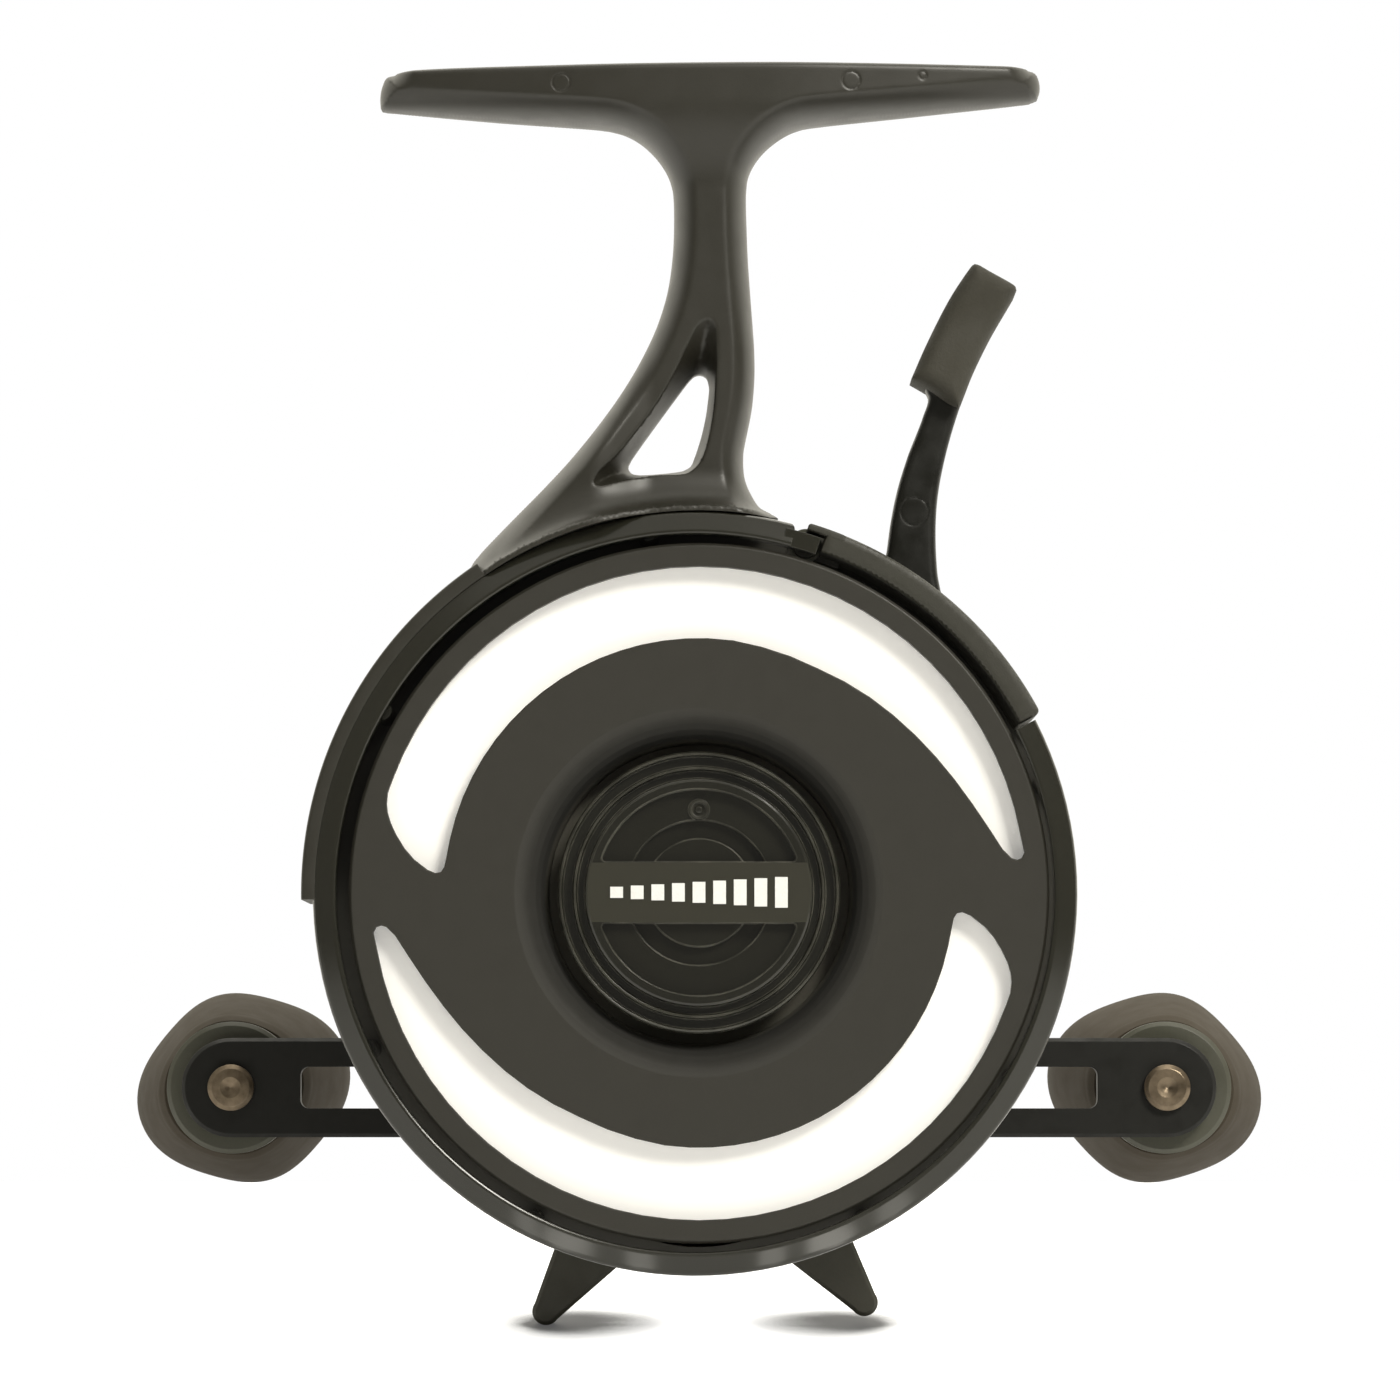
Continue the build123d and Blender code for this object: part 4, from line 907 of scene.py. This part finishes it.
# studio surround: white where the camera looks past the object, a soft warm gradient for the light itself
world = bpy.data.worlds.new("studio")
scene.world = world
world.use_nodes = True
wt = world.node_tree
wt.nodes.clear()
wo = wt.nodes.new("ShaderNodeOutputWorld")
mixw = wt.nodes.new("ShaderNodeMixShader")
lp = wt.nodes.new("ShaderNodeLightPath")
bg_cam = wt.nodes.new("ShaderNodeBackground")
bg_env = wt.nodes.new("ShaderNodeBackground")
bg_cam.inputs["Color"].default_value = (1, 1, 1, 1)
bg_cam.inputs["Strength"].default_value = 1.0
tcw = wt.nodes.new("ShaderNodeTexCoord")
sep = wt.nodes.new("ShaderNodeSeparateXYZ")
wt.links.new(tcw.outputs["Generated"], sep.inputs["Vector"])
mrw = wt.nodes.new("ShaderNodeMapRange")
mrw.inputs["From Min"].default_value = -1.0
mrw.inputs["From Max"].default_value = 1.0
wt.links.new(sep.outputs["Y"], mrw.inputs["Value"])
WARM = (1.0, 0.962, 0.845)
gr = ramp(wt, mrw.outputs["Result"], [(0.0, [ENV_FRONT * c for c in WARM]), (0.30, [ENV_FRONT * 1.15 * c for c in WARM]),
                                      (0.50, [ENV_SIDE * c for c in WARM]), (0.68, [ENV_BACK * c for c in WARM])])
mrz = wt.nodes.new("ShaderNodeMapRange")
mrz.inputs["From Min"].default_value = 0.25
mrz.inputs["From Max"].default_value = 0.75
mrz.inputs["To Min"].default_value = 1.0
mrz.inputs["To Max"].default_value = 1.15
wt.links.new(sep.outputs["Z"], mrz.inputs["Value"])
scl = wt.nodes.new("ShaderNodeVectorMath")
scl.operation = "SCALE"
wt.links.new(gr, scl.inputs[0])
wt.links.new(mrz.outputs["Result"], scl.inputs["Scale"])
wt.links.new(scl.outputs["Vector"], bg_env.inputs["Color"])
bg_env.inputs["Strength"].default_value = 1.0
wt.links.new(lp.outputs["Is Camera Ray"], mixw.inputs["Fac"])
wt.links.new(bg_env.outputs["Background"], mixw.inputs[1])
wt.links.new(bg_cam.outputs["Background"], mixw.inputs[2])
wt.links.new(mixw.outputs["Shader"], wo.inputs["Surface"])


def area(name, loc, target, size, power, size_y=None):
    l = bpy.data.lights.new(name, "AREA")
    l.energy = power
    l.color = (1.0, 0.970, 0.885)
    l.shape = "RECTANGLE"
    l.size = size
    l.size_y = size_y or size
    o = bpy.data.objects.new(name, l)
    scene.collection.objects.link(o)
    o.location = loc
    d = Vector(target) - Vector(loc)
    o.rotation_mode = "QUATERNION"
    o.rotation_quaternion = d.to_track_quat("-Z", "Y")
    return o


C = (0.0, 0.0, -0.07)
area("key", (0.50, -0.80, 0.60), C, 0.35, KEY)
area("top", (0.0, 0.15, 0.95), C, 0.8, TOP)


def patch(name, phi, tilt, dist, size, power, size_y=None):
    """Small softbox placed where the rim cone at angle phi reflects it towards the front."""
    a, t = math.radians(phi), math.radians(2 * tilt)
    p0 = Vector((0.034 * math.cos(a), -0.0092, ZS + 0.034 * math.sin(a)))
    d = Vector((math.sin(t) * math.cos(a), -math.cos(t), math.sin(t) * math.sin(a)))
    return area(name, p0 + d * dist, p0, size, power, size_y)


for nm, phi, sz, pw in (("rim_a", -110.5, 0.0050, 2.3e-4), ("rim_b", -69.0, 0.0050, 3.0e-4), ("rim_c", -99.0, 0.0030, 1.1e-4), ("rim_d", -78.5, 0.0030, 1.1e-4),
                        ("rim_e", -117.5, 0.0022, 0.7e-4), ("rim_f", -58.0, 0.0035, 1.1e-4)):
    patch(nm, phi, 26.7, 0.0115, sz, pw, 0.0045).visible_camera = False
patch("rim_top", 92.0, 26.7, 0.42, 0.50, 0.25, 0.32).visible_camera = False

# ---------------------------------------------------------------- camera
cam = bpy.data.cameras.new("camera")
cam.sensor_width = 36.0
cam.lens = 200.3
cam.dof.use_dof = False
cam.clip_start, cam.clip_end = 0.01, 20.0
co = bpy.data.objects.new("camera", cam)
scene.collection.objects.link(co)
co.location = (0.0, -0.709, -0.09269)
aim = Vector((0.00009, -0.009, -0.05768)) - co.location
co.rotation_mode = "QUATERNION"
co.rotation_quaternion = aim.to_track_quat("-Z", "Y")
scene.camera = co
